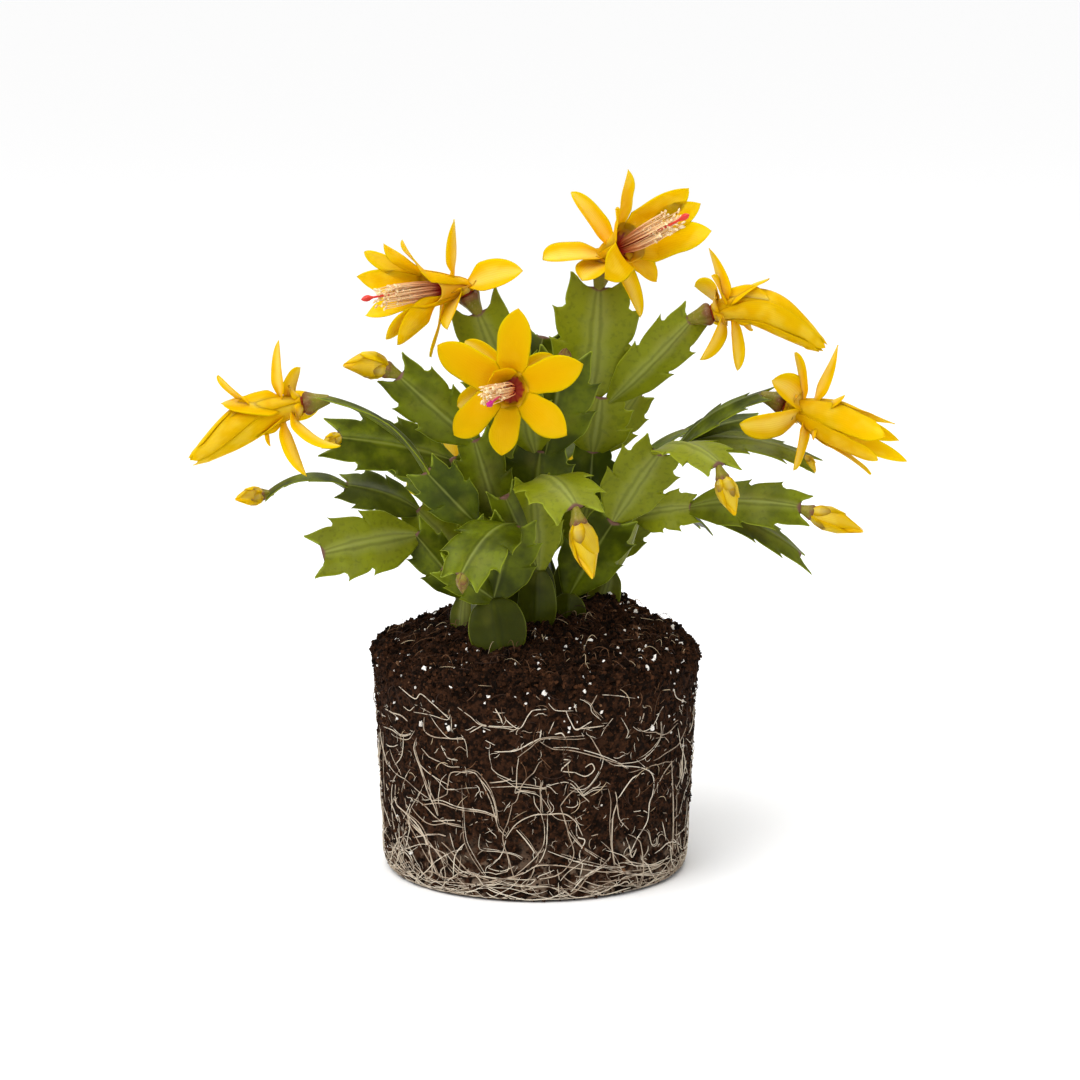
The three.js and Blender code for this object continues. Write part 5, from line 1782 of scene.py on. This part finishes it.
# The roots that the front shows, as millimetres round the wall from its middle and up it.
FRONT_ROOTS = (
    ((-57.5, 78.1), (-48.2, 75), (-44.7, 77.5), (-39.2, 74.4), (-31.9, 69.7)),
    ((-49.1, 69.8), (-40.4, 70.1), (-33.3, 69.4), (-31.6, 71.5)),
    ((-40.4, 69.7), (-37.2, 65.7), (-32.2, 62.3), (-26.4, 62.6), (-25.2, 55.7)),
    ((-43.4, 68.8), (-44.1, 63.7), (-39.8, 62), (-32.6, 62.2), (-26, 62.6)),
    ((-28.6, 74.6), (-23.2, 71.5), (-19.2, 68.6), (-10.5, 68.1), (-7.5, 67.6), (-5.9, 68.9)),
    ((-19.2, 68.6), (-24.2, 65.3)), ((-10.5, 71.6), (-5.9, 68.1), (-2.5, 73.4), (-0.6, 75.3), (3.9, 75.5)),
    ((-5.9, 68.1), (-6.7, 66), (-4.4, 64.8)), ((-14.3, 75.5), (-12.4, 72.3), (-11.7, 69.9)),
    ((-31.4, 70.6), (-31.2, 64.9)), ((-72.9, 58.9), (-64.2, 59.7), (-57.9, 58.6), (-51, 60.8)),
    ((-70.3, 66.6), (-63.4, 66.5), (-57.1, 67), (-53.2, 65.4)), ((-55.4, 70.7), (-51.5, 69.8), (-48.4, 72)),
    ((-45.6, 72.1), (-40.4, 70.9)), ((-55.7, 58.6), (-57.9, 51.1), (-63.2, 46.1)),
    ((-48, 60.1), (-49.5, 55.3), (-47.1, 48.3), (-43.6, 40.6), (-41.2, 36), (-39.1, 31)),
    ((-46.9, 50), (-41.6, 46.8), (-33.3, 43.9)), ((-42.8, 44.5), (-42.1, 37.5), (-46.7, 35.9)),
    ((-46.8, 33.7), (-38.1, 36.1), (-29.5, 34.9), (-19.1, 34.8), (-14.2, 33.1)),
    ((-36.5, 59.2), (-33.4, 54.7), (-29.3, 54.1)), ((-31, 56.8), (-28.2, 59.5), (-25.7, 58.1)),
    ((-18.1, 62.9), (-14.5, 61.4)), ((-14.6, 58.9), (-7.5, 59.6), (-2.5, 62.4), (1.7, 64.5)),
    ((-6.4, 57), (-2.5, 60.3), (1.7, 64), (6.3, 64.4), (12.5, 63.7), (18, 63.8)),
    ((1.7, 64.5), (2.1, 67.7)),
    ((1.7, 63.2), (6.3, 60.3), (13.3, 59.2), (24, 55.8), (31, 52.9), (35.8, 49.8)),
    ((7, 66), (9.3, 66.3), (10.9, 64.2)), ((6.6, 70.9), (4.7, 66.1)),
    ((10.8, 74.8), (12.4, 70.7), (14.4, 67.3), (17.9, 68.7), (20.3, 70.1)), ((0.2, 80.8), (1.7, 79.2)),
    ((4.7, 77.9), (7.3, 75.1), (13.5, 74.7)), ((13.8, 77.5), (14.7, 74.2)),
    ((15.8, 79.1), (19.4, 76.7), (20.6, 73.4), (24, 70.2)), ((22.1, 80.2), (19.8, 75.9)),
    ((24.2, 80), (31, 78.8), (38, 76.9)), ((28.7, 70.5), (25.8, 67.6), (24.2, 64)),
    ((20, 64.4), (23, 59.2), (25.2, 55.7), (29.3, 52.3)), ((14.4, 67.7), (25.3, 68)),
    ((32.2, 70.1), (35.2, 65.1), (34.4, 62)),
    ((37.5, 66), (41.7, 63.5), (47, 64.5), (50.8, 69.1), (52.5, 71.3)), ((41, 66.7), (42.3, 70.6)),
    ((58.9, 76.6), (61.6, 72.7), (69.5, 69.3)), ((49.1, 59.5), (54.1, 58.9), (57.1, 56.2)),
    ((25.2, 55.7), (24.5, 51.6), (20.8, 46.2), (17.6, 44), (12.7, 45.2)),
    ((31.1, 52.5), (42.8, 52.4), (51.6, 58.2), (51.7, 65.6)),
    ((29.3, 52.3), (43, 49), (49, 43.8), (48.8, 38), (47.2, 34.9), (46.5, 27.5), (41.2, 21.8),
     (37.9, 15.7)),
    ((48.8, 45.4), (45.2, 48.2), (39.6, 52.9)), ((60.2, 48.1), (55.3, 45), (49.4, 37.8)),
    ((45.3, 46.9), (38, 45.7), (32, 39.1)), ((-6, 57), (-6.8, 51.2), (-6.9, 45.9), (-6.1, 45.5)),
    ((-8.4, 53.6), (-8.2, 50.4)),
    ((-30.4, 48.1), (-27.2, 49.9), (-22.9, 50.2), (-20.5, 47.9), (-16.9, 43.3), (-14.9, 36.8),
     (-14.2, 30.2), (-11, 26.2)),
    ((-20.5, 47.9), (-16.5, 39.2), (-13.4, 27.8)), ((-16.4, 44.9), (-6.9, 45.6), (0.9, 45.1), (4.1, 44.7)),
    ((-16.8, 46.6), (-10.8, 47.8), (-8.8, 48.7)), ((-6.9, 45.5), (-7.3, 43), (-4.5, 43.9), (0.9, 42.7)),
    ((1.7, 44.7), (7.2, 46.7), (12.3, 46.9), (16.8, 42.4), (18, 41.5), (21.7, 43.3), (27.3, 43.2)),
    ((27.8, 43.2), (28.9, 37.9), (28.7, 29.6), (29.4, 21.2), (31.1, 12.6)),
    ((30.5, 41.8), (31.6, 37.5), (30, 31.1), (29.9, 21.1), (31.6, 12.9)), ((17.6, 41.5), (20.2, 38.8)),
    ((10.2, 56), (12.6, 55.5), (9.5, 51.9), (14.2, 50.9)),
    ((14.2, 50.9), (18.3, 48.9), (21.6, 51.1), (20.7, 53.7), (18.2, 52.6)),
    ((-0.2, 49.7), (2.1, 48), (1.7, 44.7), (2.1, 35.6)), ((4.8, 43), (4.5, 39.7), (5.7, 37.2), (4.1, 35.6)),
    ((-0.6, 42.3), (-0.2, 39), (2.1, 35.6)),
    ((2.1, 35.6), (3.3, 29.8), (2.9, 23.2), (-0.6, 17.4), (-7.1, 11.4)),
    ((4.5, 35.6), (4.5, 27.3), (3.8, 21.5), (1, 15.7), (-5.1, 11.5)),
    ((-11, 25.4), (-7, 31.4), (-0.6, 34.8), (4.1, 35.2), (10.4, 35), (14.5, 32.3), (16.6, 28.4),
     (17.9, 25.8)),
    ((-11, 24.6), (-12.8, 18.6), (-17.9, 13.3)),
    ((10.4, 34.6), (12.1, 28.7), (15.9, 23.4), (19.7, 19.8), (27.8, 13.9)),
    ((15.4, 30.9), (15.9, 25.9), (18.8, 24), (16.8, 19.2), (17.3, 15.8)),
    ((4.6, 20.7), (10.6, 17.9), (18.1, 14.9), (28.8, 12.1), (36.6, 11.3)),
    ((-27.8, 44.7), (-28, 34.7), (-27.2, 22.3), (-21.3, 12.1), (-19.2, 9.8)),
    ((-27.2, 22.3), (-31.6, 16.7), (-32.9, 8.1)), ((-45.8, 22.6), (-38.7, 23.9), (-35.6, 23.6)),
    ((-33.6, 25.2), (-32, 19.1), (-31.1, 17.2)),
    ((-21, 26.3), (-21.1, 20.5), (-14.4, 19.8), (-7.9, 18.9), (-5.1, 17.3)),
    ((-7, 28.9), (-3, 24), (-0.2, 19.9)), ((-25.2, 29.2), (-20.8, 31.7), (-17.5, 32.4)),
    ((-41.6, 28.5), (-33.4, 30.2), (-28.3, 30.5)),
    ((-64.1, 38.8), (-64.1, 31.2), (-57.8, 28.5), (-49.9, 25.2), (-45.4, 20.2), (-43.5, 13.9),
     (-40.5, 7.7)),
    ((-57.2, 34.5), (-56.4, 28), (-53.8, 25.2), (-47.6, 22.3), (-45.5, 17.7)),
    ((-53.2, 32), (-47.2, 28.2), (-41.7, 26.8), (-34.4, 28.8), (-28.8, 28.8)),
    ((-63.3, 23), (-62.5, 14.8), (-56.4, 11.1), (-54, 6.6)),
    ((-60.9, 28.6), (-51.5, 20.6), (-44.7, 12.8), (-38.5, 6.4)),
    ((-36.1, 13.5), (-32.3, 10.7), (-27.7, 8.9), (-21.4, 10)), ((-40.9, 21), (-39, 16.3), (-36.1, 13.5)),
    ((-52.2, 19.7), (-45.8, 22.2), (-37.6, 24.1)), ((21.3, 25.5), (23.9, 26)),
    ((-51.5, 3.6), (-32.5, 6.1), (-23.2, 6.5), (-14.6, 8.9), (-6.3, 11.4), (0.2, 14.9), (6.6, 15.2),
     (14, 13.6), (22.5, 11.6), (31.7, 10), (47.7, 8.4), (62, 8.1)),
    ((-32.9, 4.6), (-21.5, 6.2), (-11.3, 7.5), (-1.5, 6.5), (5.8, 6.4), (12.9, 1.8)),
    ((-7.1, 9.3), (1.8, 9.8), (6.6, 10.6), (9.9, 12.1)),
    ((-13.7, 1.2), (-6.4, 4.6), (1, 6.5), (7.5, 5.9), (13.7, 2.7)), ((8.2, 13.5), (9.9, 6.3), (13.2, 3.2)),
    ((13.5, 4.2), (17.4, 8.3), (21.7, 11.2), (27.8, 13.4)), ((22.3, 3.3), (23.8, 5), (32.8, 7.3)),
    ((21.7, 1.9), (28.8, 3.4), (33, 5.5)), ((-17.9, 13.3), (-12.9, 12.4), (-7.9, 14.7)),
    ((28.8, 11.6), (39.8, 7.8), (52.2, 5.3), (69.6, 3.1)), ((31.6, 13.3), (38.5, 13.1), (46.4, 10.3)),
    ((37.7, 19.9), (39, 14.7), (41.5, 17.6)),
    ((42.1, 25), (46.8, 23.3), (49.6, 17.7), (52.8, 17), (53.3, 20.3), (56.8, 20.3)),
    ((31.6, 37.5), (32.8, 30.7), (37.4, 25.8)), ((39.1, 32.6), (43.4, 32.3), (46.3, 30.9)),
    ((61.7, 10.7), (55.6, 8.8), (46.4, 10.3), (35.4, 14.4)),
    ((64, 6.8), (62.9, 3.5), (48.9, 4.2), (36.5, 4)),
    ((-23.2, 6.9), (-18, 6.6), (-11.2, 9.5), (-6.3, 10.2)),
    ((-74.1, 1.2), (-56.2, 1.2), (-37.3, 1.2), (-24.4, 1.2), (-12.8, 1.2)),
    ((-12.8, 1.2), (2, 1.2), (15.9, 1.2), (31, 1.2), (46.3, 1.2), (66.3, 1.2)),
    ((60.1, 48.9), (62.8, 31.5), (64.5, 10)), ((66.1, 35), (67.9, 15.1)), ((73.6, 45.8), (70.2, 36.5)),
    ((67.4, 47.2), (69.6, 40)), ((55.6, 25.6), (58.6, 17.4)), ((-74.8, 56.4), (-75.8, 45.2), (-76.6, 28.1)),
    ((-69.2, 38.4), (-63.1, 39.9)),
)


@dataclass(frozen=True)
class Strew:
    """How one kind of grain is strewn: how many a square metre at most, how large, and how unlike."""

    name: str
    density: float
    weight: str
    size_mm: float
    spread: float
    rounding: int
    seed: int
    look: Look


STREWS = (
    Strew("wall_crumbs", 400000.0, "wall", 0.41, 2.0, 0, 3, Look.CRUMB),
    Strew("crown_crumbs", 700000.0, "crown", 0.52, 2.2, 0, 4, Look.CRUMB),
    Strew("perlite_grains", 34000.0, "perlite", 1.15, 1.6, 1, 8, Look.PERLITE),
)


@dataclass
class RootBall:
    """Potting mix moulded by the pot, with its crumbs, perlite, fibres and net of roots."""

    outline: tuple[Pair, ...] = ((54.6, 0), (57.3, 1.5), (58.4, 5), (62.4, 84), (61, 87.5))
    shoulder: tuple[Pair, ...] = ((62.4, 84.2), (62.2, 85.4), (61.6, 86.6), (60.8, 87.5))
    rim_height: float = 87.0
    rim_radius: float = 62.5
    crown: float = 12.0
    mounds: tuple[tuple[float, float, float, float], ...] = (
        (33, 18, 17, 7), (30, 14, 12, 7), (48, 10, 12, 6), (-30, 20, 14, 1), (-50, 5, 16, -2.5),
    )
    columns: int = 288
    lowest: float = 3.5
    highest: float = 66.0
    foot: float = 1.2
    front_ends: float = 62.0

    @property
    def girdle(self) -> float:
        """Tells how many millimetres it is round the wall."""
        return 2 * math.pi * self.middle_radius

    @property
    def middle_radius(self) -> float:
        """Tells the wall's radius at the height where the roots were measured."""
        return float(self.wall_radius(30))

    def crown_height(self, x: Array, y: Array) -> Array:
        """Gives the crown's height over a place.

        Args:
            x: The place's X.
            y: The place's Y.

        Returns:
            The height.
        """
        reach = np.hypot(x, y) / self.rim_radius
        rise = np.full_like(reach, self.crown)
        for mound_x, mound_y, spread, height in self.mounds:
            rise = rise + height * np.exp(-((x - mound_x) ** 2 + (y - mound_y) ** 2) / spread**2)
        return self.rim_height + rise * np.maximum(0, 1 - reach**1.6)

    def wall_radius(self, height: Array | float) -> Array:
        """Gives the wall's radius at a height."""
        radii, heights = zip(*self.outline)
        return np.interp(height, heights, radii)

    def profile(self) -> Array:
        """Lists the rings of the skin, from the middle of the underside to the middle of the crown.

        Returns:
            Each ring's radius and height. On the crown, the height is left open.
        """
        under = [(r, 0.0) for r in (8, 20, 32, 42, 50)]
        corner = flowing(np.array(self.outline[:3], float), 5)
        wall = [(float(self.wall_radius(z)), z) for z in np.arange(7.1, 84, 1.1)]
        crown = [(r, math.nan) for r in np.arange(59.8, 1.0, -1.15)]
        return np.concatenate([under, corner, wall, self.shoulder, crown])

    def skin(self) -> tuple[Array, Array]:
        """Makes the lumpy surface.

        Returns:
            Its rings of points, and how much of the crown each point is.
        """
        profile = self.profile()
        angle = np.arange(self.columns) * 2 * math.pi / self.columns
        radius, height = profile[:, :1], profile[:, 1:]
        x, y = radius * np.cos(angle), radius * np.sin(angle)
        top = np.isnan(height)
        z = np.where(top, self.crown_height(x, y), height)
        rings = np.stack([x, y, z], -1)
        crumbly = np.where(top, 1.0, ease(z, 76.0, 86.0))
        away = np.stack([np.cos(angle) + 0 * z, np.sin(angle) + 0 * z, 0 * z], -1)
        lift = np.array([0.0, 0.0, 1.0])
        normal = unit(away * (1 - 0.85 * top[..., None]) + lift * top[..., None])
        flat = rings.reshape(-1, 3)
        # Lumps of three sizes push the surface out and in, the crown's most. The foot stays flat.
        coarse = np.array([noise.fractal(Vector(p / 9.0), 1.0, 2.0, 3) for p in flat])
        lumps = np.array([noise.fractal(Vector(p / 2.6 + 31.0), 1.0, 2.0, 3) for p in flat])
        fine = np.array([noise.noise(Vector(p / 0.9 + 77.0)) for p in flat])
        size = crumbly.reshape(-1)
        push = coarse * (0.6 + 2.2 * size) + lumps * (0.55 + 1.7 * size) + fine * (0.3 + 0.5 * size)
        push = np.where(flat[:, 2] < 3.0, np.minimum(push, 0.0) * 0.4, push)
        lumpy = flat + normal.reshape(-1, 3) * push[:, None]
        lumpy[:, 2] = np.where(flat[:, 2] == 0.0, 0.0, np.maximum(lumpy[:, 2], 0.0))
        return lumpy.reshape(rings.shape), crumbly

    def on_wall(self, around: Array, up: Array, proud: Array | float) -> Array:
        """Places points on the wall.

        Args:
            around: Millimetres round the wall from the middle of the front, to the right.
            up: Millimetres up.
            proud: How far they stand off the wall.

        Returns:
            The points.
        """
        angle = around / self.middle_radius
        reach = self.wall_radius(up) + proud
        return np.stack([np.sin(angle) * reach, -np.cos(angle) * reach, up], -1)

    def wandering(self) -> list[Array]:
        """Walks the main roots round the sides and the back, as the solid has them.

        Returns:
            Their points round and up the wall.
        """
        random = Stream(Seed.WANDERING_ROOTS)
        count, stretch = 23, 8
        roots = []
        for k in range(count):
            around = self.front_ends + 258 * (k + random()) / count
            up = self.lowest + (self.highest - self.lowest) * random() ** 1.5
            heading = -math.pi / 2 + (random() - 0.5) * (3 if k % 3 == 0 else 1.4)
            points = [(around, up)]
            for _ in range(4 + k % 3):
                heading += (random() - 0.5) * 1.3
                around += stretch * math.cos(heading)
                up = max(self.lowest, up + stretch * math.sin(heading))
                if up == self.lowest:
                    heading = 0.1 if math.cos(heading) > 0 else math.pi - 0.1
                points.append((around, min(up, self.highest)))
            roots.append(np.array(points))
        return roots

    def walk(self, random: Stream, around: float, up: float, heading: float, length: float,
             turn: float, step: float = 1.5) -> Array:
        """Walks one fine root over the wall.

        Args:
            random: The stream of numbers.
            around: Where it starts round the wall.
            up: Where it starts up the wall.
            heading: Its first heading in radians.
            length: How far it goes.
            turn: How much it may turn at each step.
            step: How far apart its points are.

        Returns:
            Its points round and up the wall.
        """
        kinks, ceiling = 0.14, self.highest + 8
        points = [(around, up)]
        drift = 0.0
        for _ in range(max(2, int(length / step))):
            drift = 0.6 * drift + (random() - 0.5) * turn
            kink = (random() - 0.5) * 1.6 if random() < kinks else 0.0
            heading += drift + kink
            around += step * math.cos(heading)
            up += step * math.sin(heading)
            if up < self.foot:
                heading = abs(heading) % 0.3 if math.cos(heading) > 0 else math.pi - 0.15
                up = self.foot
            if up > ceiling:
                heading = -heading
                up = ceiling
            points.append((around, up))
        return np.array(points)

    def lay(self, net: Threads, random: Stream, path: Array, girth: float, proud: float) -> None:
        """Lays one root along a path round and up the wall, and so far proud of it."""
        rise = proud + 0.2 * np.sin(np.arange(len(path)) * 0.5 + 6 * random())
        net.add(self.on_wall(path[:, 0], path[:, 1], rise), girth, 0.15 + 0.85 * random())

    def main_roots(self, net: Threads, random: Stream) -> None:
        """Lays the roots that the front shows one by one, and their like round the back.

        Args:
            net: The net that gets them.
            random: The stream of numbers.
        """
        for root in [np.array(one, float) for one in FRONT_ROOTS] + self.wandering():
            path = flowing(root, 5)
            wobble = np.cumsum(np.array([[random() - 0.5, random() - 0.5] for _ in path]), 0) * 0.16
            path = path + wobble - np.linspace(0, 1, len(path))[:, None] * wobble[-1]
            path[:, 1] = np.maximum(path[:, 1], self.foot)
            girth = 0.12 + 0.13 * random()
            self.lay(net, random, path, girth, 0.55)
            if random() < 0.4 and len(path) > 14:
                slide = unit(np.gradient(path, axis=0))
                aside = (0.75 + 0.4 * np.sin(np.arange(len(path)) * 0.3 + 6 * random()))[:, None]
                twin = path + np.stack([-slide[:, 1], slide[:, 0]], -1) * aside
                twin[:, 1] = np.maximum(twin[:, 1], self.foot)
                cut = int(len(twin) * (0.15 + 0.2 * random()))
                self.lay(net, random, twin[cut:], girth * 0.8, 0.5)

    def roots(self) -> Threads:
        """Lays the net: the main roots, the mat round the foot, runs up the wall, and short ends.

        Returns:
            The net.
        """
        random = Stream(Seed.ROOTS)
        net = Threads()
        self.main_roots(net, random)
        mat, runs, ends = 170, 150, 760
        for _ in range(mat):
            way = 0.0 if random() < 0.5 else math.pi
            path = self.walk(random, self.girdle * random(), 1.3 + 11 * random() ** 1.7,
                             way + (random() - 0.5) * 0.8, 14 + 34 * random(), 0.25)
            self.lay(net, random, path, 0.11 + 0.13 * random(), 0.4 + 0.4 * random())
        for k in range(runs):
            around = self.front_ends + 268 * random() if k % 4 else self.girdle * random()
            path = self.walk(random, around, 6 + 60 * random(), -math.pi / 2 + (random() - 0.5) * 2.8,
                             9 + 22 * random(), 0.35)
            self.lay(net, random, path, 0.09 + 0.11 * random(), 0.45 + 0.25 * random())
        for _ in range(ends):
            path = self.walk(random, self.girdle * random(), 3 + 72 * random() ** 1.2, ANY_PHASE * random(),
                             1.5 + 5 * random() ** 1.5, 1.1, 0.9)
            self.lay(net, random, path, 0.06 + 0.08 * random(), 0.4 + 0.3 * random())
        return net

    def fibres(self) -> Threads:
        """Lays short fibres over the crown and the upper wall, some of them sticking up.

        Returns:
            The mat of fibres.
        """
        random = Stream(Seed.FIBRES)
        mat = Threads()
        count, crown_edge = 620, 60.5
        for k in range(count):
            angle = FULL_TURN * random()
            length = 3 + 8 * random() ** 2
            heading = FULL_TURN * random()
            t = np.linspace(0.0, 1.0, 6)
            curve = (random() - 0.5) * 2.2
            a = length * t * np.cos(heading + curve * t)
            b = length * t * np.sin(heading + curve * t)
            arch = (0.6 + 2.6 * random() ** 3) * np.sin(math.pi * t) + (3.5 * t if k % 19 == 0 else 0)
            if k % 5 < 3:
                reach = 60 * math.sqrt(random())
                x, y = reach * math.cos(angle) + a, reach * math.sin(angle) + b
                inside = np.minimum(1.0, crown_edge / np.maximum(np.hypot(x, y), 1e-6))
                x, y = x * inside, y * inside
                line = np.stack([x, y, self.crown_height(x, y) + 0.9 + arch], -1)
            else:
                up = np.clip(30 + 52 * random() + b, 8, 84)
                line = self.on_wall(392 * random() + a, up, 0.5 + 0.3 * arch)
            mat.add(line, 0.07 + 0.08 * random(), random())
        return mat

    def weights(self, ball: Thing, rings: Array, crumbly: Array) -> dict[str, Array]:
        """Tells how thickly each kind of grain lies on every vertex.

        Args:
            ball: The root ball's object.
            rings: Its rings of points.
            crumbly: How much of the crown each point is.

        Returns:
            The weights, by the name that a strew reads.
        """
        clumps = np.array([noise.fractal(vertex.co / (7 * MM), 1.0, 2.0, 2) for vertex in ball.data.vertices])
        heights = np.concatenate([rings[..., 2].reshape(-1), [0.0, self.rim_height + self.crown]])
        loose = np.concatenate([crumbly.reshape(-1), [0.0, 1.0]])
        above = heights > 1.0
        return {
            "wall": np.where(above, 1 - loose, 0.0) * (0.75 + 0.5 * ease(clumps, -0.3, 0.5)),
            "crown": np.where(above, loose, 0.0) * (0.7 + 0.5 * ease(clumps, -0.3, 0.5)),
            "perlite": np.where(above, 0.03 + 0.97 * ease(heights, 50.0, 82.0), 0.0)
                       * ease(clumps, -0.25, 0.45),
        }

    def build(self, finishes: Finishes, grains: Tree,
              threads: Tree) -> None:
        """Makes the root ball and everything on it.

        Args:
            finishes: The materials.
            grains: The tree that strews grains.
            threads: The tree that skins lines.
        """
        rings, crumbly = self.skin()
        body = Skin()
        height = rings[..., 2] / (self.rim_height + self.crown)
        body.add(*tube(rings, marks_of(crumbly, height, 0.0, 0.0)))
        ball = body.piece("moulded_mix", [finishes[Look.MIX]])
        base = ball.data.copy()
        for label, values in self.weights(ball, rings, crumbly).items():
            store(base, label, values)
        dress(ball, ["root_ball"])
        for strew in STREWS:
            dress(grown_by(grains, base.copy(), strew.name, {
                "Density": strew.density, "Weight": strew.weight, "Size": strew.size_mm * MM,
                "Spread": strew.spread, "Rounding": strew.rounding, "Seed": strew.seed,
                "Finish": finishes[strew.look],
            }))
        dress(self.roots().piece("root_net", threads, finishes[Look.ROOT], 5))
        dress(self.fibres().piece("peat_fibres", threads, finishes[Look.FIBRE], 4))


# The stage


@dataclass
class Studio:
    """A pale floor, soft lights and the camera of the photograph."""

    camera_mm: Point = (1.74, -1300.0, 373.0)
    pitch: float = 10.7
    lens_mm: float = 114.9
    sensor_mm: float = 36.0
    world: float = 0.42
    sky_power: float = 2.3
    sky_width: float = 60.0
    sky_turn: Pair = (30.0, -22.0)
    target: Point = (0.0, 0.0, 0.14)

    def camera(self) -> None:
        """Sets the camera up."""
        data = bpy.data.cameras.new("studio_camera")
        data.lens = self.lens_mm
        data.sensor_width = self.sensor_mm
        data.clip_end = 100.0
        thing = placed("studio_camera", data)
        thing.location = Vector(self.camera_mm) * MM
        thing.rotation_euler = Euler((math.radians(90 - self.pitch), 0.0, 0.0))
        bpy.context.scene.camera = thing

    def softbox(self, name: str, place: Point, size: float, power: float) -> None:
        """Hangs a square soft light that faces the plant.

        Args:
            name: The light's name.
            place: Where it hangs, in metres.
            size: How wide it is, in metres.
            power: Its power in watts.
        """
        data = bpy.data.lights.new(name, "AREA")
        data.size = size
        data.energy = power
        thing = placed(name, data)
        thing.location = place
        thing.rotation_euler = (Vector(self.target) - Vector(place)).to_track_quat("-Z", "Y").to_euler()

    def sky(self) -> None:
        """Lights the scene from a pale sky with a broad soft sun in it."""
        data = bpy.data.lights.new("broad_top_light", "SUN")
        data.energy = self.sky_power
        data.angle = math.radians(self.sky_width)
        lamp = placed("broad_top_light", data)
        lamp.rotation_euler = Euler((*map(math.radians, self.sky_turn), 0.0))
        world = bpy.data.worlds.new("studio_world")
        world.use_nodes = True
        shade = world.node_tree.nodes["Background"]
        shade.inputs["Color"].default_value = linear("ffffff")
        shade.inputs["Strength"].default_value = self.world
        bpy.context.scene.world = world

    def floor(self) -> None:
        """Lays the pale floor that the plant stands on."""
        mesh = bpy.data.meshes.new("studio_floor")
        mesh.from_pydata([(-20, -4, 0), (20, -4, 0), (20, 60, 0), (-20, 60, 0)], [], [(0, 1, 2, 3)])
        paper = bpy.data.materials.new("pale_paper")
        paper.use_nodes = True
        shader = paper.node_tree.nodes["Principled BSDF"]
        shader.inputs["Base Color"].default_value = linear("ffffff")
        shader.inputs["Roughness"].default_value = 0.9
        mesh.materials.append(paper)
        floor = placed("studio_floor", mesh)

    def build(self) -> None:
        """Builds the stage."""
        self.camera()
        self.softbox("key_softbox", (-0.9, -1.1, 1.5), 1.1, 7.0)
        self.softbox("fill_softbox", (1.3, -0.9, 0.8), 1.2, 3.0)
        self.softbox("top_softbox", (0.1, 0.5, 1.6), 1.2, 12.0)
        self.sky()
        self.floor()
        bpy.context.scene.view_settings.view_transform = "Standard"


def main() -> None:
    """Builds the plant and its stage."""
    logging.basicConfig(level=logging.INFO, format="%(name)s: %(message)s")
    finishes = {look: look.value.material() for look in Look}
    RootBall().build(finishes, grain_tree(), thread_tree())
    stems = {name: Stem(name, number, joints) for number, (name, joints) in enumerate(STEMS.items())}
    for stem in stems.values():
        stem.build(finishes[Look.JOINT])
    axes = {bloom.name: bloom.build(number, stems, finishes) for number, bloom in enumerate(BLOOMS)}
    stamens = brush_tree()
    for number, brush in enumerate(BRUSHES):
        brush.build(number, axes[brush.bloom.name], stamens, finishes)
    for number, bud in enumerate(BUDS):
        bud.build(number, stems, finishes)
    Studio().build()


if __name__ == "__main__":
    main()
